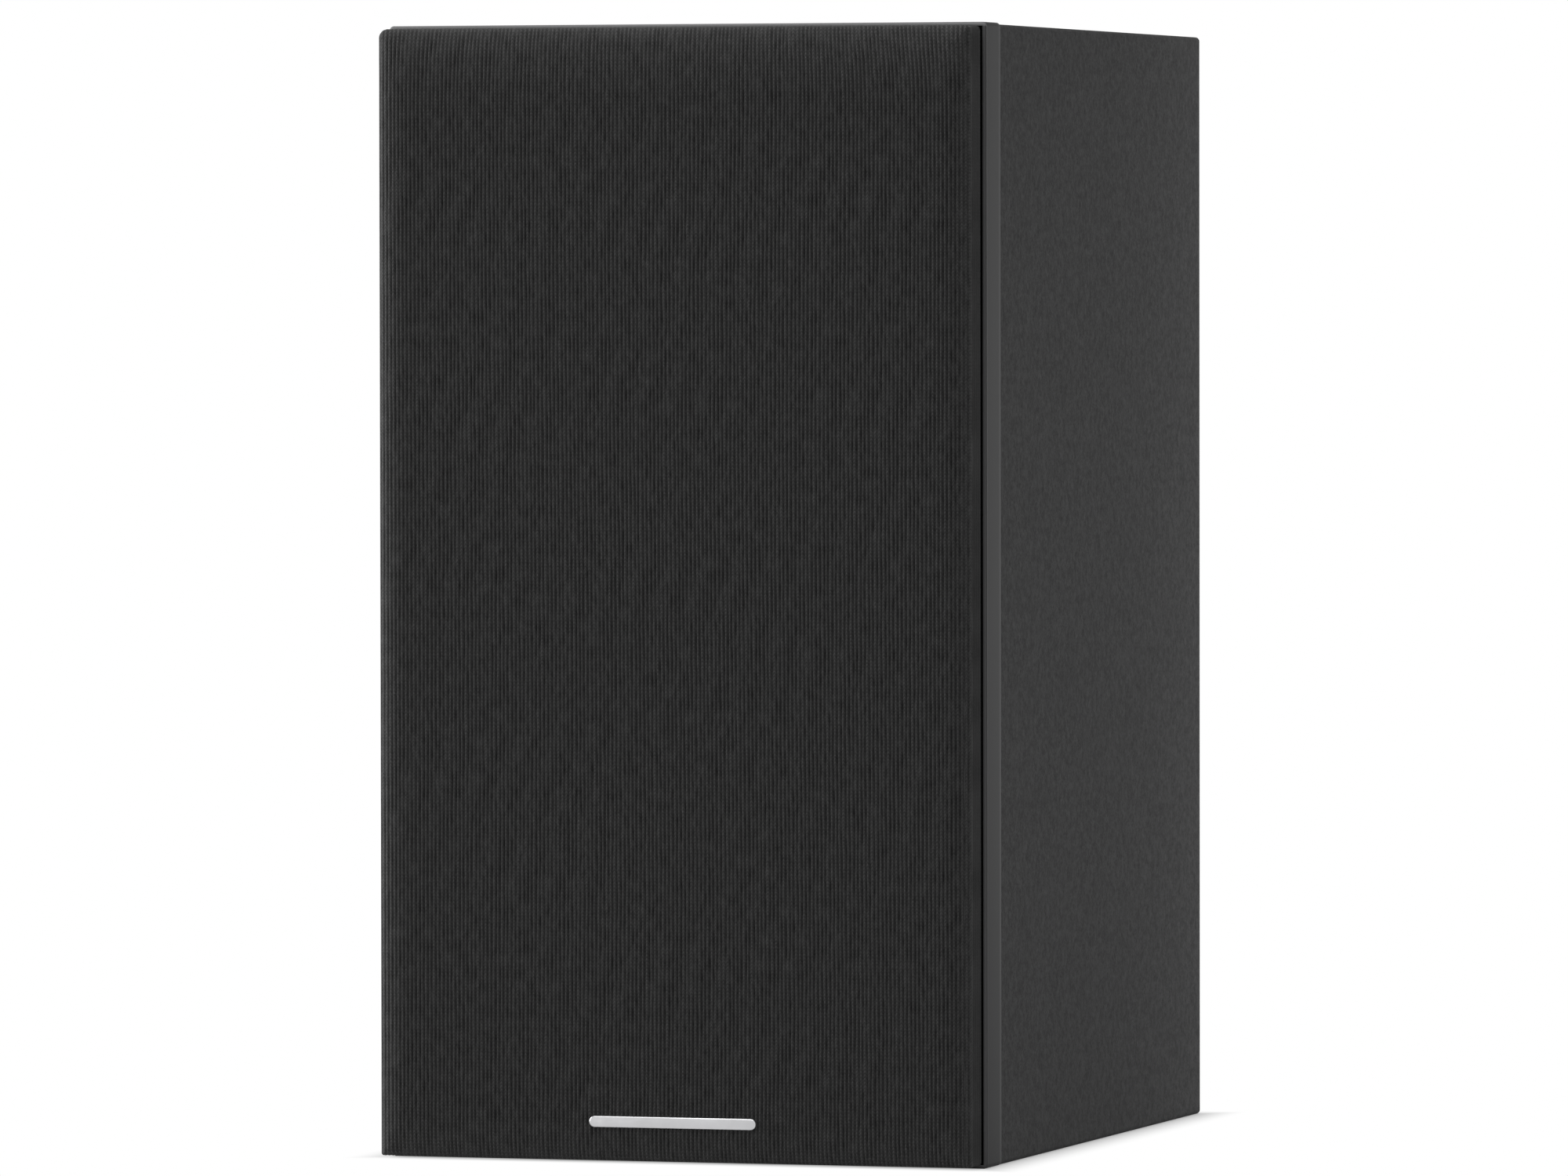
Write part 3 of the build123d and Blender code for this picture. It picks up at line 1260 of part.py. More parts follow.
# Grille: a moulded frame with two windows and six feet, and cloth pulled over its front and sides
grille_width = cabinet_width - 2 * GRILLE_INSET
grille_height = cabinet_height - 2 * GRILLE_INSET
cloth_wrap = CLOTH_THICKNESS + CLEARANCE
frame_front_y = grille_front_y + cloth_wrap
frame_back_y = grille_back_y - cloth_wrap
window_width = 2 * (grille_frame_x - GRILLE_BAR)
low_window = (grille_frame_low + GRILLE_BAR, cross_bar_z - GRILLE_BAR / 2)
high_window = (cross_bar_z + GRILLE_BAR / 2, grille_frame_high - GRILLE_BAR)
with BuildPart() as grille_frame:
    with BuildSketch(upright(frame_back_y)):
        with Locations((0, middle_z)):
            RectangleRounded(
                grille_width - 2 * cloth_wrap,
                grille_height - 2 * cloth_wrap,
                GRILLE_CORNER - cloth_wrap,
            )
    extrude(amount=frame_back_y - frame_front_y, dir=FORWARD)
    fillet(
        grille_frame.faces().sort_by(Axis.Y)[0].edges(),
        GRILLE_EDGE_ROUND - cloth_wrap,
    )
    with BuildSketch(upright(frame_back_y)):
        for window_low, window_high in (low_window, high_window):
            with Locations((0, (window_low + window_high) / 2)):
                RectangleRounded(window_width, window_high - window_low, GRILLE_WINDOW_CORNER)
    extrude(amount=frame_back_y - frame_front_y, dir=FORWARD, mode=Mode.SUBTRACT)
    with BuildSketch(upright(frame_back_y)):
        with Locations(*catch_places):
            Circle(BOSS_RADIUS)
    extrude(amount=front_y - frame_back_y, dir=REARWARD)
    with BuildSketch(upright(front_y)):
        with Locations(*catch_places):
            Circle(GRILLE_MAGNET_RADIUS + CLEARANCE)
    extrude(amount=GRILLE_MAGNET_THICKNESS, dir=FORWARD, mode=Mode.SUBTRACT)
write(grille_frame, "grille_frame")

with BuildPart() as grille_magnets:
    with BuildSketch(upright(front_y)):
        with Locations(*catch_places):
            Circle(GRILLE_MAGNET_RADIUS)
    extrude(amount=GRILLE_MAGNET_THICKNESS, dir=FORWARD)
write(grille_magnets, "grille_magnets")

cavity_corner = GRILLE_CORNER - CLOTH_THICKNESS
with BuildPart() as grille_cloth:
    with BuildSketch(upright(grille_back_y)):
        with Locations((0, middle_z)):
            RectangleRounded(grille_width, grille_height, GRILLE_CORNER)
    extrude(amount=GRILLE_THICKNESS, dir=FORWARD)
    fillet(grille_cloth.faces().sort_by(Axis.Y)[0].edges(), GRILLE_EDGE_ROUND)
    with BuildPart(mode=Mode.SUBTRACT) as cavity:
        with BuildSketch(upright(grille_back_y - CLOTH_THICKNESS)):
            with Locations((0, middle_z)):
                RectangleRounded(
                    grille_width - 2 * CLOTH_THICKNESS,
                    grille_height - 2 * CLOTH_THICKNESS,
                    cavity_corner,
                )
        extrude(amount=GRILLE_THICKNESS - 2 * CLOTH_THICKNESS, dir=FORWARD)
        fillet(cavity.faces().sort_by(Axis.Y)[0].edges(), GRILLE_EDGE_ROUND - CLOTH_THICKNESS)
    with BuildSketch(upright(grille_back_y)):
        with Locations((0, middle_z)):
            RectangleRounded(
                grille_width - 2 * CLOTH_LIP,
                grille_height - 2 * CLOTH_LIP,
                GRILLE_CORNER,
            )
    extrude(amount=2 * CLOTH_THICKNESS, dir=FORWARD, mode=Mode.SUBTRACT)
write(grille_cloth, "grille_cloth")
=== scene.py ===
import json
import math

import bmesh
import bpy
import numpy as np
from mathutils import Matrix, Vector


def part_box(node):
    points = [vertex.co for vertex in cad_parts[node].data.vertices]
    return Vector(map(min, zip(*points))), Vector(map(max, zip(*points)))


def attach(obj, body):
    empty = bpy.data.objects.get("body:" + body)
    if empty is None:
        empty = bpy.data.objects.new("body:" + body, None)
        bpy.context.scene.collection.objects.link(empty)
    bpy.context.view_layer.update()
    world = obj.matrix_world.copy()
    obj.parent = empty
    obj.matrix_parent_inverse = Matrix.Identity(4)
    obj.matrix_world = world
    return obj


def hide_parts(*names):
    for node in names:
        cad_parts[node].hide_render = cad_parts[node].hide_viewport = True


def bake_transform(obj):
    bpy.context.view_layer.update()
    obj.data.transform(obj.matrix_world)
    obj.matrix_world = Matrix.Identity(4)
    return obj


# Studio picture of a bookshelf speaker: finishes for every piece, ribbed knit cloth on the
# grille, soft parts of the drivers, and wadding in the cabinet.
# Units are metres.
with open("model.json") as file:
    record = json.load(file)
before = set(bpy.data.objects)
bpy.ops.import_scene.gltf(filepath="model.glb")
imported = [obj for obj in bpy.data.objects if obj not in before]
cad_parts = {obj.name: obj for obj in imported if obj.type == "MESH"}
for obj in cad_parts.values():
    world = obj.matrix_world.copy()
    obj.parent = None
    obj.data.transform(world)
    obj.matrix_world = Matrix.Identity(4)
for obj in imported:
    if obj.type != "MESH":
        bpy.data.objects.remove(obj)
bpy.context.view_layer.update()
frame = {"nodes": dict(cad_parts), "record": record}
nodes = frame["nodes"]
MM = 0.001
BAND_SCALE = math.tau / 20  # a wave texture of this scale has one band to the unit


class Finish:
    """A principled material whose textures are laid out in the piece's own millimetres."""

    def __init__(self, name, color, roughness, metallic=0.0, **sockets):
        self.material = bpy.data.materials.new(name)
        self.material.use_nodes = True
        self.tree = self.material.node_tree
        self.shader = self.tree.nodes["Principled BSDF"]
        self.color = color
        self.shader.inputs["Base Color"].default_value = (*color, 1)
        self.shader.inputs["Roughness"].default_value = roughness
        self.shader.inputs["Metallic"].default_value = metallic
        for socket, value in sockets.items():
            self.shader.inputs[socket.replace("_", " ")].default_value = value
        self.place = self.node("ShaderNodeTexCoord").outputs["Object"]
        self.normal = None

    def feed(self, socket, value):
        """Links the socket to a node's output, or sets it to a plain value."""
        if isinstance(value, bpy.types.NodeSocket):
            self.tree.links.new(value, socket)
        else:
            socket.default_value = value

    def node(self, kind, settings=None, **inputs):
        new = self.tree.nodes.new(kind)
        for name, value in (settings or {}).items():
            setattr(new, name, value)
        for name, value in inputs.items():
            self.feed(new.inputs[name.replace("_", " ")], value)
        return new

    def axes(self, vector=None):
        """X, Y and Z of a vector, or else of the place on the piece."""
        split = self.node("ShaderNodeSeparateXYZ", Vector=vector or self.place)
        return [split.outputs[axis] for axis in "XYZ"]

    def noise(self, size_mm, detail=2.0):
        """Soft random pattern with features of about this size."""
        return self.node(
            "ShaderNodeTexNoise", Vector=self.place, Scale=1 / (size_mm * MM), Detail=detail
        ).outputs["Fac"]

    def cells(self, size_mm, feature="F1"):
        """Cellular pattern, for foam, speckle and grain."""
        return self.node(
            "ShaderNodeTexVoronoi",
            {"feature": feature},
            Vector=self.place,
            Scale=1 / (size_mm * MM),
        ).outputs["Distance"]

    def waves(self, pitch_mm, direction, distortion=0.0):
        """Even bands across one direction, for windings and weaves."""
        return self.node(
            "ShaderNodeTexWave",
            {"wave_type": "BANDS", "bands_direction": direction},
            Vector=self.place,
            Scale=BAND_SCALE / (pitch_mm * MM),
            Distortion=distortion,
        ).outputs["Fac"]

    def math(self, operation, a, b=0.0):
        made = self.node("ShaderNodeMath", {"operation": operation})
        self.feed(made.inputs[0], a)
        self.feed(made.inputs[1], b)
        return made.outputs["Value"]

    def ramp(self, value, low, high, from_low=0.0, from_high=1.0):
        """Straight run from low to high while the value goes through its own range."""
        return self.node(
            "ShaderNodeMapRange",
            Value=value,
            From_Min=from_low,
            From_Max=from_high,
            To_Min=low,
            To_Max=high,
        ).outputs["Result"]

    def tint(self, value, dark, light, from_low=0.3, from_high=0.7):
        """Base colour from dark to light times its own colour, following a pattern."""
        share = self.ramp(value, 0, 1, from_low, from_high)
        mix = self.node("ShaderNodeMix", {"data_type": "RGBA"})
        self.feed(mix.inputs["Factor"], share)
        mix.inputs["A"].default_value = (*[c * dark for c in self.color], 1)
        mix.inputs["B"].default_value = (*[c * light for c in self.color], 1)
        self.feed(self.shader.inputs["Base Color"], mix.outputs["Result"])
        return self

    def gloss(self, value, low, high, from_low=0.3, from_high=0.7):
        """Roughness that follows a pattern."""
        result = self.ramp(value, low, high, from_low, from_high)
        self.feed(self.shader.inputs["Roughness"], result)
        return self

    def relief(self, height, depth_mm, strength=1.0):
        """Bump of this depth; further calls lie on top of the earlier ones."""
        bump = self.node(
            "ShaderNodeBump", Height=height, Distance=depth_mm * MM, Strength=strength
        )
        if self.normal is not None:
            self.feed(bump.inputs["Normal"], self.normal)
        self.normal = bump.outputs["Normal"]
        self.feed(self.shader.inputs["Normal"], self.normal)
        return self


def moulded(name, color, roughness, grain_mm=0.35, depth_mm=0.012, **sockets):
    """Moulded plastic or paint: a fine even grain and a slight drift of tone."""
    made = Finish(name, color, roughness, **sockets)
    made.tint(made.noise(18, 3), 0.92, 1.08)
    made.gloss(made.noise(6), roughness - 0.05, roughness + 0.05)
    return made.relief(made.noise(grain_mm), depth_mm)


def bright_metal(name, color, roughness, grain_mm):
    """Turned or plated metal with faint tool lines."""
    made = Finish(name, color, roughness, metallic=1.0)
    lines = made.waves(grain_mm, "Y", 2.0)
    made.tint(made.noise(9, 4), 0.9, 1.06)
    made.gloss(made.noise(1.2, 4), roughness - 0.06, roughness + 0.1)
    return made.relief(lines, 0.004)


def woven(name, color, roughness, thread_mm, depth_mm=0.05):
    """Plain weave in the plane of the baffle."""
    made = Finish(name, color, roughness, Sheen_Weight=0.25, Sheen_Roughness=0.5)
    threads = made.math("MULTIPLY", made.waves(thread_mm, "X"), made.waves(thread_mm, "Z"))
    made.tint(made.math("ADD", threads, made.noise(4, 3)), 0.75, 1.15, 0.3, 1.2)
    return made.relief(threads, depth_mm)


def wound(name, color, roughness, wire_mm):
    """Enamelled wire wound side by side."""
    made = Finish(name, color, roughness, metallic=0.9)
    turns = made.waves(wire_mm, "Y", 0.3)
    made.tint(turns, 0.35, 1.1, 0.1, 0.6)
    return made.relief(turns, 0.12)


def vinyl_wrap(rear_y, top_z):
    """Black vinyl with a fine mottle, and painted light that makes it a little lighter towards the
    foot and the rear edge.
    """
    foot_light_tone, top_shade_tone, rear_light_gain = 1.13, 0.93, 0.3
    darkest, lightest = 0.72, 1.28  # of the mottle
    made = Finish("vinyl_wrap", (0.044, 0.044, 0.0444), 0.72, Specular_IOR_Level=0.018)
    mottle = made.math("ADD", made.noise(2.2, 4), made.noise(0.7, 2))
    mottle = made.ramp(mottle, darkest, lightest, 0.75, 1.25)
    _, depth, height = made.axes()
    # painted light and shade: lighter at the foot, darker at the top, and lighter towards the rear
    # edge
    painted_rear_light = made.ramp(depth, 0, 1, 0, rear_y)
    painted_rear_light = made.math("MULTIPLY", made.math("MULTIPLY", painted_rear_light, painted_rear_light), rear_light_gain)
    painted_light_lift = made.math("ADD", made.ramp(height, foot_light_tone, top_shade_tone, 0, top_z), painted_rear_light)
    made.tint(made.math("MULTIPLY", mottle, painted_light_lift), 0, 2, 0, 2)
    made.gloss(made.noise(1.6, 3), 0.66, 0.78)
    return made.relief(made.noise(0.45, 3), 0.03).relief(made.noise(3.0, 2), 0.05, 0.5)


def baffle_paint(low, high, sleeve_y):
    """Satin dark grey with painted highlights on its front, top and rear edges, painted light that
    makes it lighter towards the rear and the foot, and a black face, partly its paint and partly
    painted shade, darkest at the gap.
    """
    rim_low, rim_high = -1.05 * MM, -0.95 * MM  # where the face ends, measured from the outline
    face_tone, gap_shade_start, gap_shade_full = 0.2, -9 * MM, -3 * MM
    front_edge_highlight_tone, front_edge_highlight_low, front_edge_highlight_high = 0.8, 0.15 * MM, 0.4 * MM  # depths behind the front
    round_low, round_high = 0.5 * MM, 0.9 * MM
    top_edge_highlight_tone, top_edge_highlight_low, top_edge_highlight_high = 1.3, 1.2 * MM, 0.9 * MM  # depths below the top
    front_tone, rear_lit_tone, painted_light_depth = 0.28, 0.42, 12 * MM
    rear_edge_highlight_tone, rear_edge_highlight_low, rear_edge_highlight_high = 0.5, 2.8 * MM, 0.8 * MM  # distances ahead of the sleeve
    foot_light_gain, top_shade_gain = 1.22, 0.95
    face_shine, edge_shine, round_shine = 0.5, 0.014, 0.12
    made = Finish("baffle_paint", (0.035, 0.035, 0.0354), 0.5)
    across, depth, height = made.axes()
    middle, half = (low.z + high.z) / 2, (high.z - low.z) / 2
    beside = made.math("SUBTRACT", made.math("ABSOLUTE", across), high.x)
    above = made.math("ABSOLUTE", made.math("SUBTRACT", height, middle))
    inset = made.math("MAXIMUM", beside, made.math("SUBTRACT", above, half))
    rim = made.ramp(inset, 0, 1, rim_low, rim_high)
    # painted shade: the face is black, partly its paint and partly painted shade, and darkens to
    # nothing towards its outline, in the gap behind the grille
    face = made.ramp(inset, face_tone, 0, gap_shade_start, gap_shade_full)
    # painted highlight along the front of the edge's round
    front_edge_highlight = made.ramp(depth, front_edge_highlight_tone, 0, low.y + front_edge_highlight_low, low.y + front_edge_highlight_high)
    rounded = made.ramp(depth, 1, 0, low.y + round_low, low.y + round_high)
    # painted highlight along the top of the front round
    top_edge_highlight = made.ramp(height, 0, top_edge_highlight_tone, high.z - top_edge_highlight_low, high.z - top_edge_highlight_high)
    top_edge_highlight = made.math("MULTIPLY", rounded, top_edge_highlight)
    # the strip's tone, with painted light that makes it lighter towards the rear
    drift = made.ramp(depth, front_tone, rear_lit_tone, low.y, low.y + painted_light_depth)
    # painted highlight just ahead of the sleeve, at the rear edge
    rear = made.ramp(depth, 0, rear_edge_highlight_tone, sleeve_y - rear_edge_highlight_low, sleeve_y - rear_edge_highlight_high)
    tone = made.math("ADD", made.math("ADD", drift, top_edge_highlight), made.math("ADD", front_edge_highlight, rear))
    # painted light and shade: lighter at the foot, darker at the top
    tone = made.math("MULTIPLY", tone, made.ramp(height, foot_light_gain, top_shade_gain, low.z, high.z))
    made.tint(made.math("ADD", made.math("MULTIPLY", rim, tone), face), 0.1, 5.0, 0, 2)
    made.gloss(rim, 0.7, 0.5, 0, 1)
    shine = made.math("MULTIPLY", rim, made.ramp(rounded, edge_shine, round_shine))
    shine = made.math("ADD", shine, made.math("MULTIPLY", face, face_shine))
    made.feed(made.shader.inputs["Specular IOR Level"], shine)
    return made.relief(made.noise(0.8, 2), 0.006)


def raw_board():
    """Cut fibreboard."""
    made = Finish("raw_board", (0.36, 0.24, 0.14), 0.85)
    fibres = made.node(
        "ShaderNodeTexNoise", Vector=made.place, Scale=900.0, Detail=6.0, Roughness=0.7
    ).outputs["Fac"]
    made.tint(fibres, 0.72, 1.2)
    return made.relief(fibres, 0.06)


def wadding_fleece():
    """White fleece with soft tufts."""
    made = Finish("wadding", (0.72, 0.72, 0.69), 0.95, Sheen_Weight=0.6, Sheen_Roughness=0.6)
    tufts = made.noise(6, 8)
    made.tint(tufts, 0.8, 1.06)
    return made.relief(made.noise(1.2, 6), 0.6).relief(tufts, 1.5)


def foam():
    """Open black foam."""
    made = Finish("foam_gasket", (0.022, 0.022, 0.022), 0.95)
    pores = made.cells(0.5)
    made.tint(pores, 0.6, 1.3, 0.1, 0.7)
    return made.relief(pores, 0.12)


def coated_pulp(name, color, roughness):
    """Pressed fibres under a thin coat, for cones, card and fired clay."""
    made = Finish(name, color, roughness)
    fibres = made.noise(0.8, 6)
    made.tint(made.math("ADD", fibres, made.noise(5, 3)), 0.8, 1.25, 0.7, 1.3)
    made.gloss(fibres, roughness - 0.08, roughness + 0.08)
    return made.relief(fibres, 0.05)


def circuit_laminate():
    """Green board with lighter tracks under its varnish."""
    made = Finish("board_laminate", (0.02, 0.13, 0.05), 0.38, Coat_Weight=0.3)
    tracks = made.cells(7, "DISTANCE_TO_EDGE")
    made.tint(tracks, 1.7, 0.9, 0.08, 0.12)
    return made.relief(tracks, 0.04)


def ribbed_knit():
    """Charcoal knit: painted shade of uneven darkness in the grooves between the ribs, painted
    light along the front's edges and painted shade on the side walls, with stitches and wool.
    """
    stitch_slant, loop_share, wool_share = 1.2, 0.3, 0.75
    streak_rate = 0.28  # the streaks change this much more slowly along the ribs than across
    made = Finish("grille_cloth", (0.042, 0.042, 0.042), 0.95, Specular_IOR_Level=0.1)
    ribs = made.node("ShaderNodeUVMap", {"uv_map": "ribs"}).outputs["UV"]
    rib, stitch, _ = made.axes(ribs)
    firmness = made.node("ShaderNodeUVMap", {"uv_map": "firmness"}).outputs["UV"]
    firm, painted_light_and_shade, _ = made.axes(firmness)
    half = made.math("ABSOLUTE", made.math("SUBTRACT", made.math("FRACT", rib), 0.5))
    crown = made.ramp(half, 1, 0, 0.08, 0.46)
    slant = made.math("ADD", stitch, made.math("MULTIPLY", half, stitch_slant))
    loop = made.math("SINE", made.math("MULTIPLY", slant, math.tau))
    loop = made.ramp(loop, 0, 1, -1, 1)
    streak_place = made.node("ShaderNodeMapping", Vector=ribs, Scale=(1.0, streak_rate, 1.0))
    streaks = made.node(
        "ShaderNodeTexNoise", Vector=streak_place.outputs["Vector"], Scale=1.0, Detail=3.0
    ).outputs["Fac"]
    wool = made.noise(0.45, 4)
    # painted shade in the grooves between the ribs, uneven along the streaks
    groove = made.math("MULTIPLY", made.math("SUBTRACT", 1.0, crown), firm)
    shade = made.math("MULTIPLY", groove, made.ramp(streaks, 0.2, 0.8, 0.3, 0.7))
    loops = made.math("MULTIPLY", loop, loop_share)
    knots = made.math("ADD", loops, made.math("MULTIPLY", wool, wool_share))
    light = made.math("ADD", knots, made.ramp(streaks, 0.45, 0.2, 0.3, 0.7))
    # the second map carries painted light along the front's edges and painted shade on the side
    # walls
    unshaded = made.math("SUBTRACT", 1.0, made.math("ADD", shade, painted_light_and_shade))
    made.tint(made.math("MULTIPLY", unshaded, light), 0.16, 2.34, 0.0, 2.0)
    return made.relief(made.math("MULTIPLY", loop, crown), 0.1).relief(wool, 0.06)


FINISHES = {
    "vinyl_wrap": vinyl_wrap(*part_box("right_side_panel")[1].yz),
    "baffle_paint": baffle_paint(*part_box("front_baffle"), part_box("right_side_panel")[0].y),
    "rear_wrap": moulded("rear_wrap", (0.022, 0.022, 0.023), 0.62, 0.6, 0.03),
    "raw_board": raw_board(),
    "wadding": wadding_fleece(),
    "grille_cloth": ribbed_knit(),
    "grille_moulding": moulded("grille_moulding", (0.012, 0.012, 0.012), 0.55),
    "black_moulding": moulded("black_moulding", (0.018, 0.018, 0.019), 0.5),
    "trim_moulding": moulded("trim_moulding", (0.016, 0.016, 0.017), 0.34, 0.9, 0.004),
    "basket_paint": moulded("basket_paint", (0.024, 0.024, 0.026), 0.45, 0.7, 0.015),
    "foam_gasket": foam(),
    "surround_rubber": moulded("surround_rubber", (0.014, 0.014, 0.014), 0.48, 1.4, 0.01),
    "cone_pulp": coated_pulp("cone_pulp", (0.026, 0.026, 0.029), 0.5),
    "dust_cap_pulp": coated_pulp("dust_cap_pulp", (0.02, 0.02, 0.022), 0.42),
    "spider_cloth": woven("spider_cloth", (0.5, 0.33, 0.12), 0.8, 0.8),
    "motor_steel": bright_metal("motor_steel", (0.55, 0.55, 0.56), 0.34, 0.4),
    "ferrite": moulded("ferrite", (0.055, 0.055, 0.058), 0.6, 0.5, 0.03),
    "bright_magnet": bright_metal("bright_magnet", (0.42, 0.42, 0.43), 0.42, 0.6),
    "former_foil": bright_metal("former_foil", (0.78, 0.78, 0.8), 0.28, 0.5),
    "copper_wire": wound("copper_wire", (0.7, 0.3, 0.13), 0.32, 0.55),
    "dome_silk": woven("dome_silk", (0.016, 0.016, 0.017), 0.6, 0.35, 0.02),
    "guard_mesh": moulded("guard_mesh", (0.02, 0.02, 0.021), 0.45, 0.5, 0.008),
    "tag_fibre": coated_pulp("tag_fibre", (0.3, 0.16, 0.06), 0.7),
    "gold_brass": bright_metal("gold_brass", (0.9, 0.66, 0.28), 0.2, 0.5),
    "screw_black": moulded("screw_black", (0.02, 0.02, 0.021), 0.36, 0.4, 0.006, metallic=0.6),
    "knob_red": moulded(
        "knob_red",
        (0.42, 0.008, 0.01),
        0.22,
        0.8,
        0.004,
        Coat_Weight=0.5,
        Coat_Roughness=0.12,
    ),
    "knob_black": moulded("knob_black", (0.014, 0.014, 0.015), 0.26, 0.8, 0.004),
    "board_laminate": circuit_laminate(),
    "capacitor_film": moulded("capacitor_film", (0.55, 0.33, 0.03), 0.3, 2.0, 0.02),
    "resistor_ceramic": coated_pulp("resistor_ceramic", (0.72, 0.71, 0.67), 0.85),
    "cable_jacket": moulded("cable_jacket", (0.02, 0.02, 0.02), 0.4, 0.9, 0.01),
}

slot_of = {part["node"]: part["material_slot"] for part in frame["record"]["subparts"]}
for name, piece in nodes.items():
    finish = FINISHES[slot_of[name]].material
    if not piece.material_slots:
        piece.data.materials.append(finish)
    for place in piece.material_slots:
        place.material = finish


def half_width(node):
    """Half of a node's size across the speaker, which is the radius of a round piece."""
    low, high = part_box(node)
    return (high.x - low.x) / 2


def mesh_piece(name, points, faces, slot):
    """A new smooth mesh object with the finish of a record slot."""
    mesh = bpy.data.meshes.new(name)
    mesh.from_pydata([tuple(p) for p in points], [], faces)
    mesh.validate()
    for polygon in mesh.polygons:
        polygon.use_smooth = True
    piece = bpy.data.objects.new(name, mesh)
    bpy.context.scene.collection.objects.link(piece)
    mesh.materials.append(FINISHES[slot].material)
    return piece


def grid_faces(columns, rows, start=0, flip=False):
    """Quads between the points of a grid that is stored column by column."""
    made = []
    for c in range(columns - 1):
        for r in range(rows - 1):
            a = start + c * rows + r
            quad = (a, a + rows, a + rows + 1, a + 1)
            made.append(quad[::-1] if flip else quad)
    return made


# Grille cloth: a knit with upright ribs, pulled over the frame and turned behind its edge
RIB_PITCH = 1.11 * MM
RIB_RISE = 0.34 * MM
RIB_ROUNDNESS = 0.7  # the lower, the narrower the groove between two ribs
STITCH_PITCH = 0.95 * MM
STEPS_PER_RIB = 6
EDGE_REACH = 8.0 * MM  # the cloth turns over the frame's edge on a flat quarter ellipse
EDGE_DEPTH = 1.8 * MM
TURN_SAMPLES = 400
TOP_LEFT_CORNER, TOP_RIGHT_CORNER, FOOT_CORNER = 2.4 * MM, 1.2 * MM, 0.7 * MM
LIP = 2.5 * MM
PULL_REACH = 22 * MM  # the ribs lean within this distance of the top edge
PULL_RIGHT = 1.6 * MM
PULL_LEFT = 0.8 * MM
PULL_SHAPE = 2.5  # the higher, the nearer to the sides the ribs lean most
DRIFT = 0.35 * MM  # slow wander of the ribs from top to bottom
DRIFT_ALONG, DRIFT_ACROSS = 3.1, 2.0  # radians of that wander from the middle to the edges
LEAST_PER_RIB = 0.1  # slowest wave of the uneven fields, in waves per rib
SWELL_LEAST, SWELL_MOST = 0.25, 1.6  # limits of the ribs' uneven height
SEAM_REACH = 1.5 * MM
LEFT_STRETCH, RIGHT_STRETCH = 0.8, 0.35  # how flat the ribs are pulled at the two edges
WALL_EASE = 0.6
WALL_PAINTED_SHADE = 0.57  # painted shade: the side walls are darker than the front
LEFT_LIGHT, LEFT_REACH = 0.9, 8 * MM  # painted light: the cloth is lighter along these edges
TOP_LIGHT, TOP_REACH = 0.42, 18 * MM
FOOT_LIGHT, FOOT_REACH = 0.25, 10 * MM
RIGHT_LIGHT, RIGHT_REACH = 0.3, 4 * MM
ROW_STEP = 2.0 * MM
EDGE_STEP = 0.6 * MM
END_ROWS = 8
WELD = 0.005 * MM

knit_random = np.random.default_rng(11)
cloth_low, cloth_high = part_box("grille_cloth")
half_w = (cloth_high.x - cloth_low.x) / 2
half_h = (cloth_high.z - cloth_low.z) / 2
cloth_mid = (cloth_low.z + cloth_high.z) / 2
cloth_depth = cloth_high.y - cloth_low.y
edge_arc = EDGE_REACH * math.pi / 2
turn_angle = np.linspace(0, math.pi / 2, TURN_SAMPLES)
turn_step = np.hypot(EDGE_REACH * np.cos(turn_angle), EDGE_DEPTH * np.sin(turn_angle))
turn_length = np.cumsum(turn_step) * turn_angle[1]  # along the ellipse, up to each angle


def rib_drop(count):
    """Depth below the crown of a rounded rib, with a narrow groove at each whole number."""
    return RIB_RISE * (1 - np.abs(np.sin(np.pi * count)) ** RIB_ROUNDNESS)


def stretch(lean, x):
    """Share of the ribs' depth that is left where the cloth is pulled round the frame."""
    rightward = (x / half_w + 1) / 2
    return 1 - (LEFT_STRETCH + (RIGHT_STRETCH - LEFT_STRETCH) * rightward) * lean**4


def uneven(count, z, waves):
    """Smooth random field over the cloth, from waves of (size, per rib, per metre, start)."""
    field = 0
    for size, per_rib, per_metre, start in waves:
        field = field + size * np.sin(math.tau * (per_rib * count + per_metre * z) + start)
    return field


def random_waves(how_many, size, most_per_rib, most_per_metre):
    """Waves of one size in random directions, for uneven()."""
    made = []
    for _ in range(how_many):
        per_rib = knit_random.uniform(LEAST_PER_RIB, most_per_rib)
        per_metre = knit_random.uniform(-most_per_metre, most_per_metre)
        made.append((size, per_rib, per_metre, knit_random.uniform(0, math.tau)))
    return made


def rib_count(across, x, z):
    """Ribs counted across the cloth. Near the top they are pulled towards the middle."""
    near_top = np.clip(1 - (half_h - z) / PULL_REACH, 0, 1)
    most_lean = np.sin(np.pi * (np.abs(x) / half_w) ** PULL_SHAPE)
    pull = np.where(x > 0, PULL_RIGHT, PULL_LEFT) * most_lean
    drift = np.sin(DRIFT_ALONG * z / half_h + DRIFT_ACROSS * x / half_w)
    wander = DRIFT * drift * (1 - (x / half_w) ** 2)
    count = (across + np.sign(x) * pull * near_top**2 + wander) / RIB_PITCH
    inside = np.clip((half_w - np.abs(x)) / PULL_REACH, 0, 1)
    return count + uneven(count, z, WANDER_WAVES) * inside


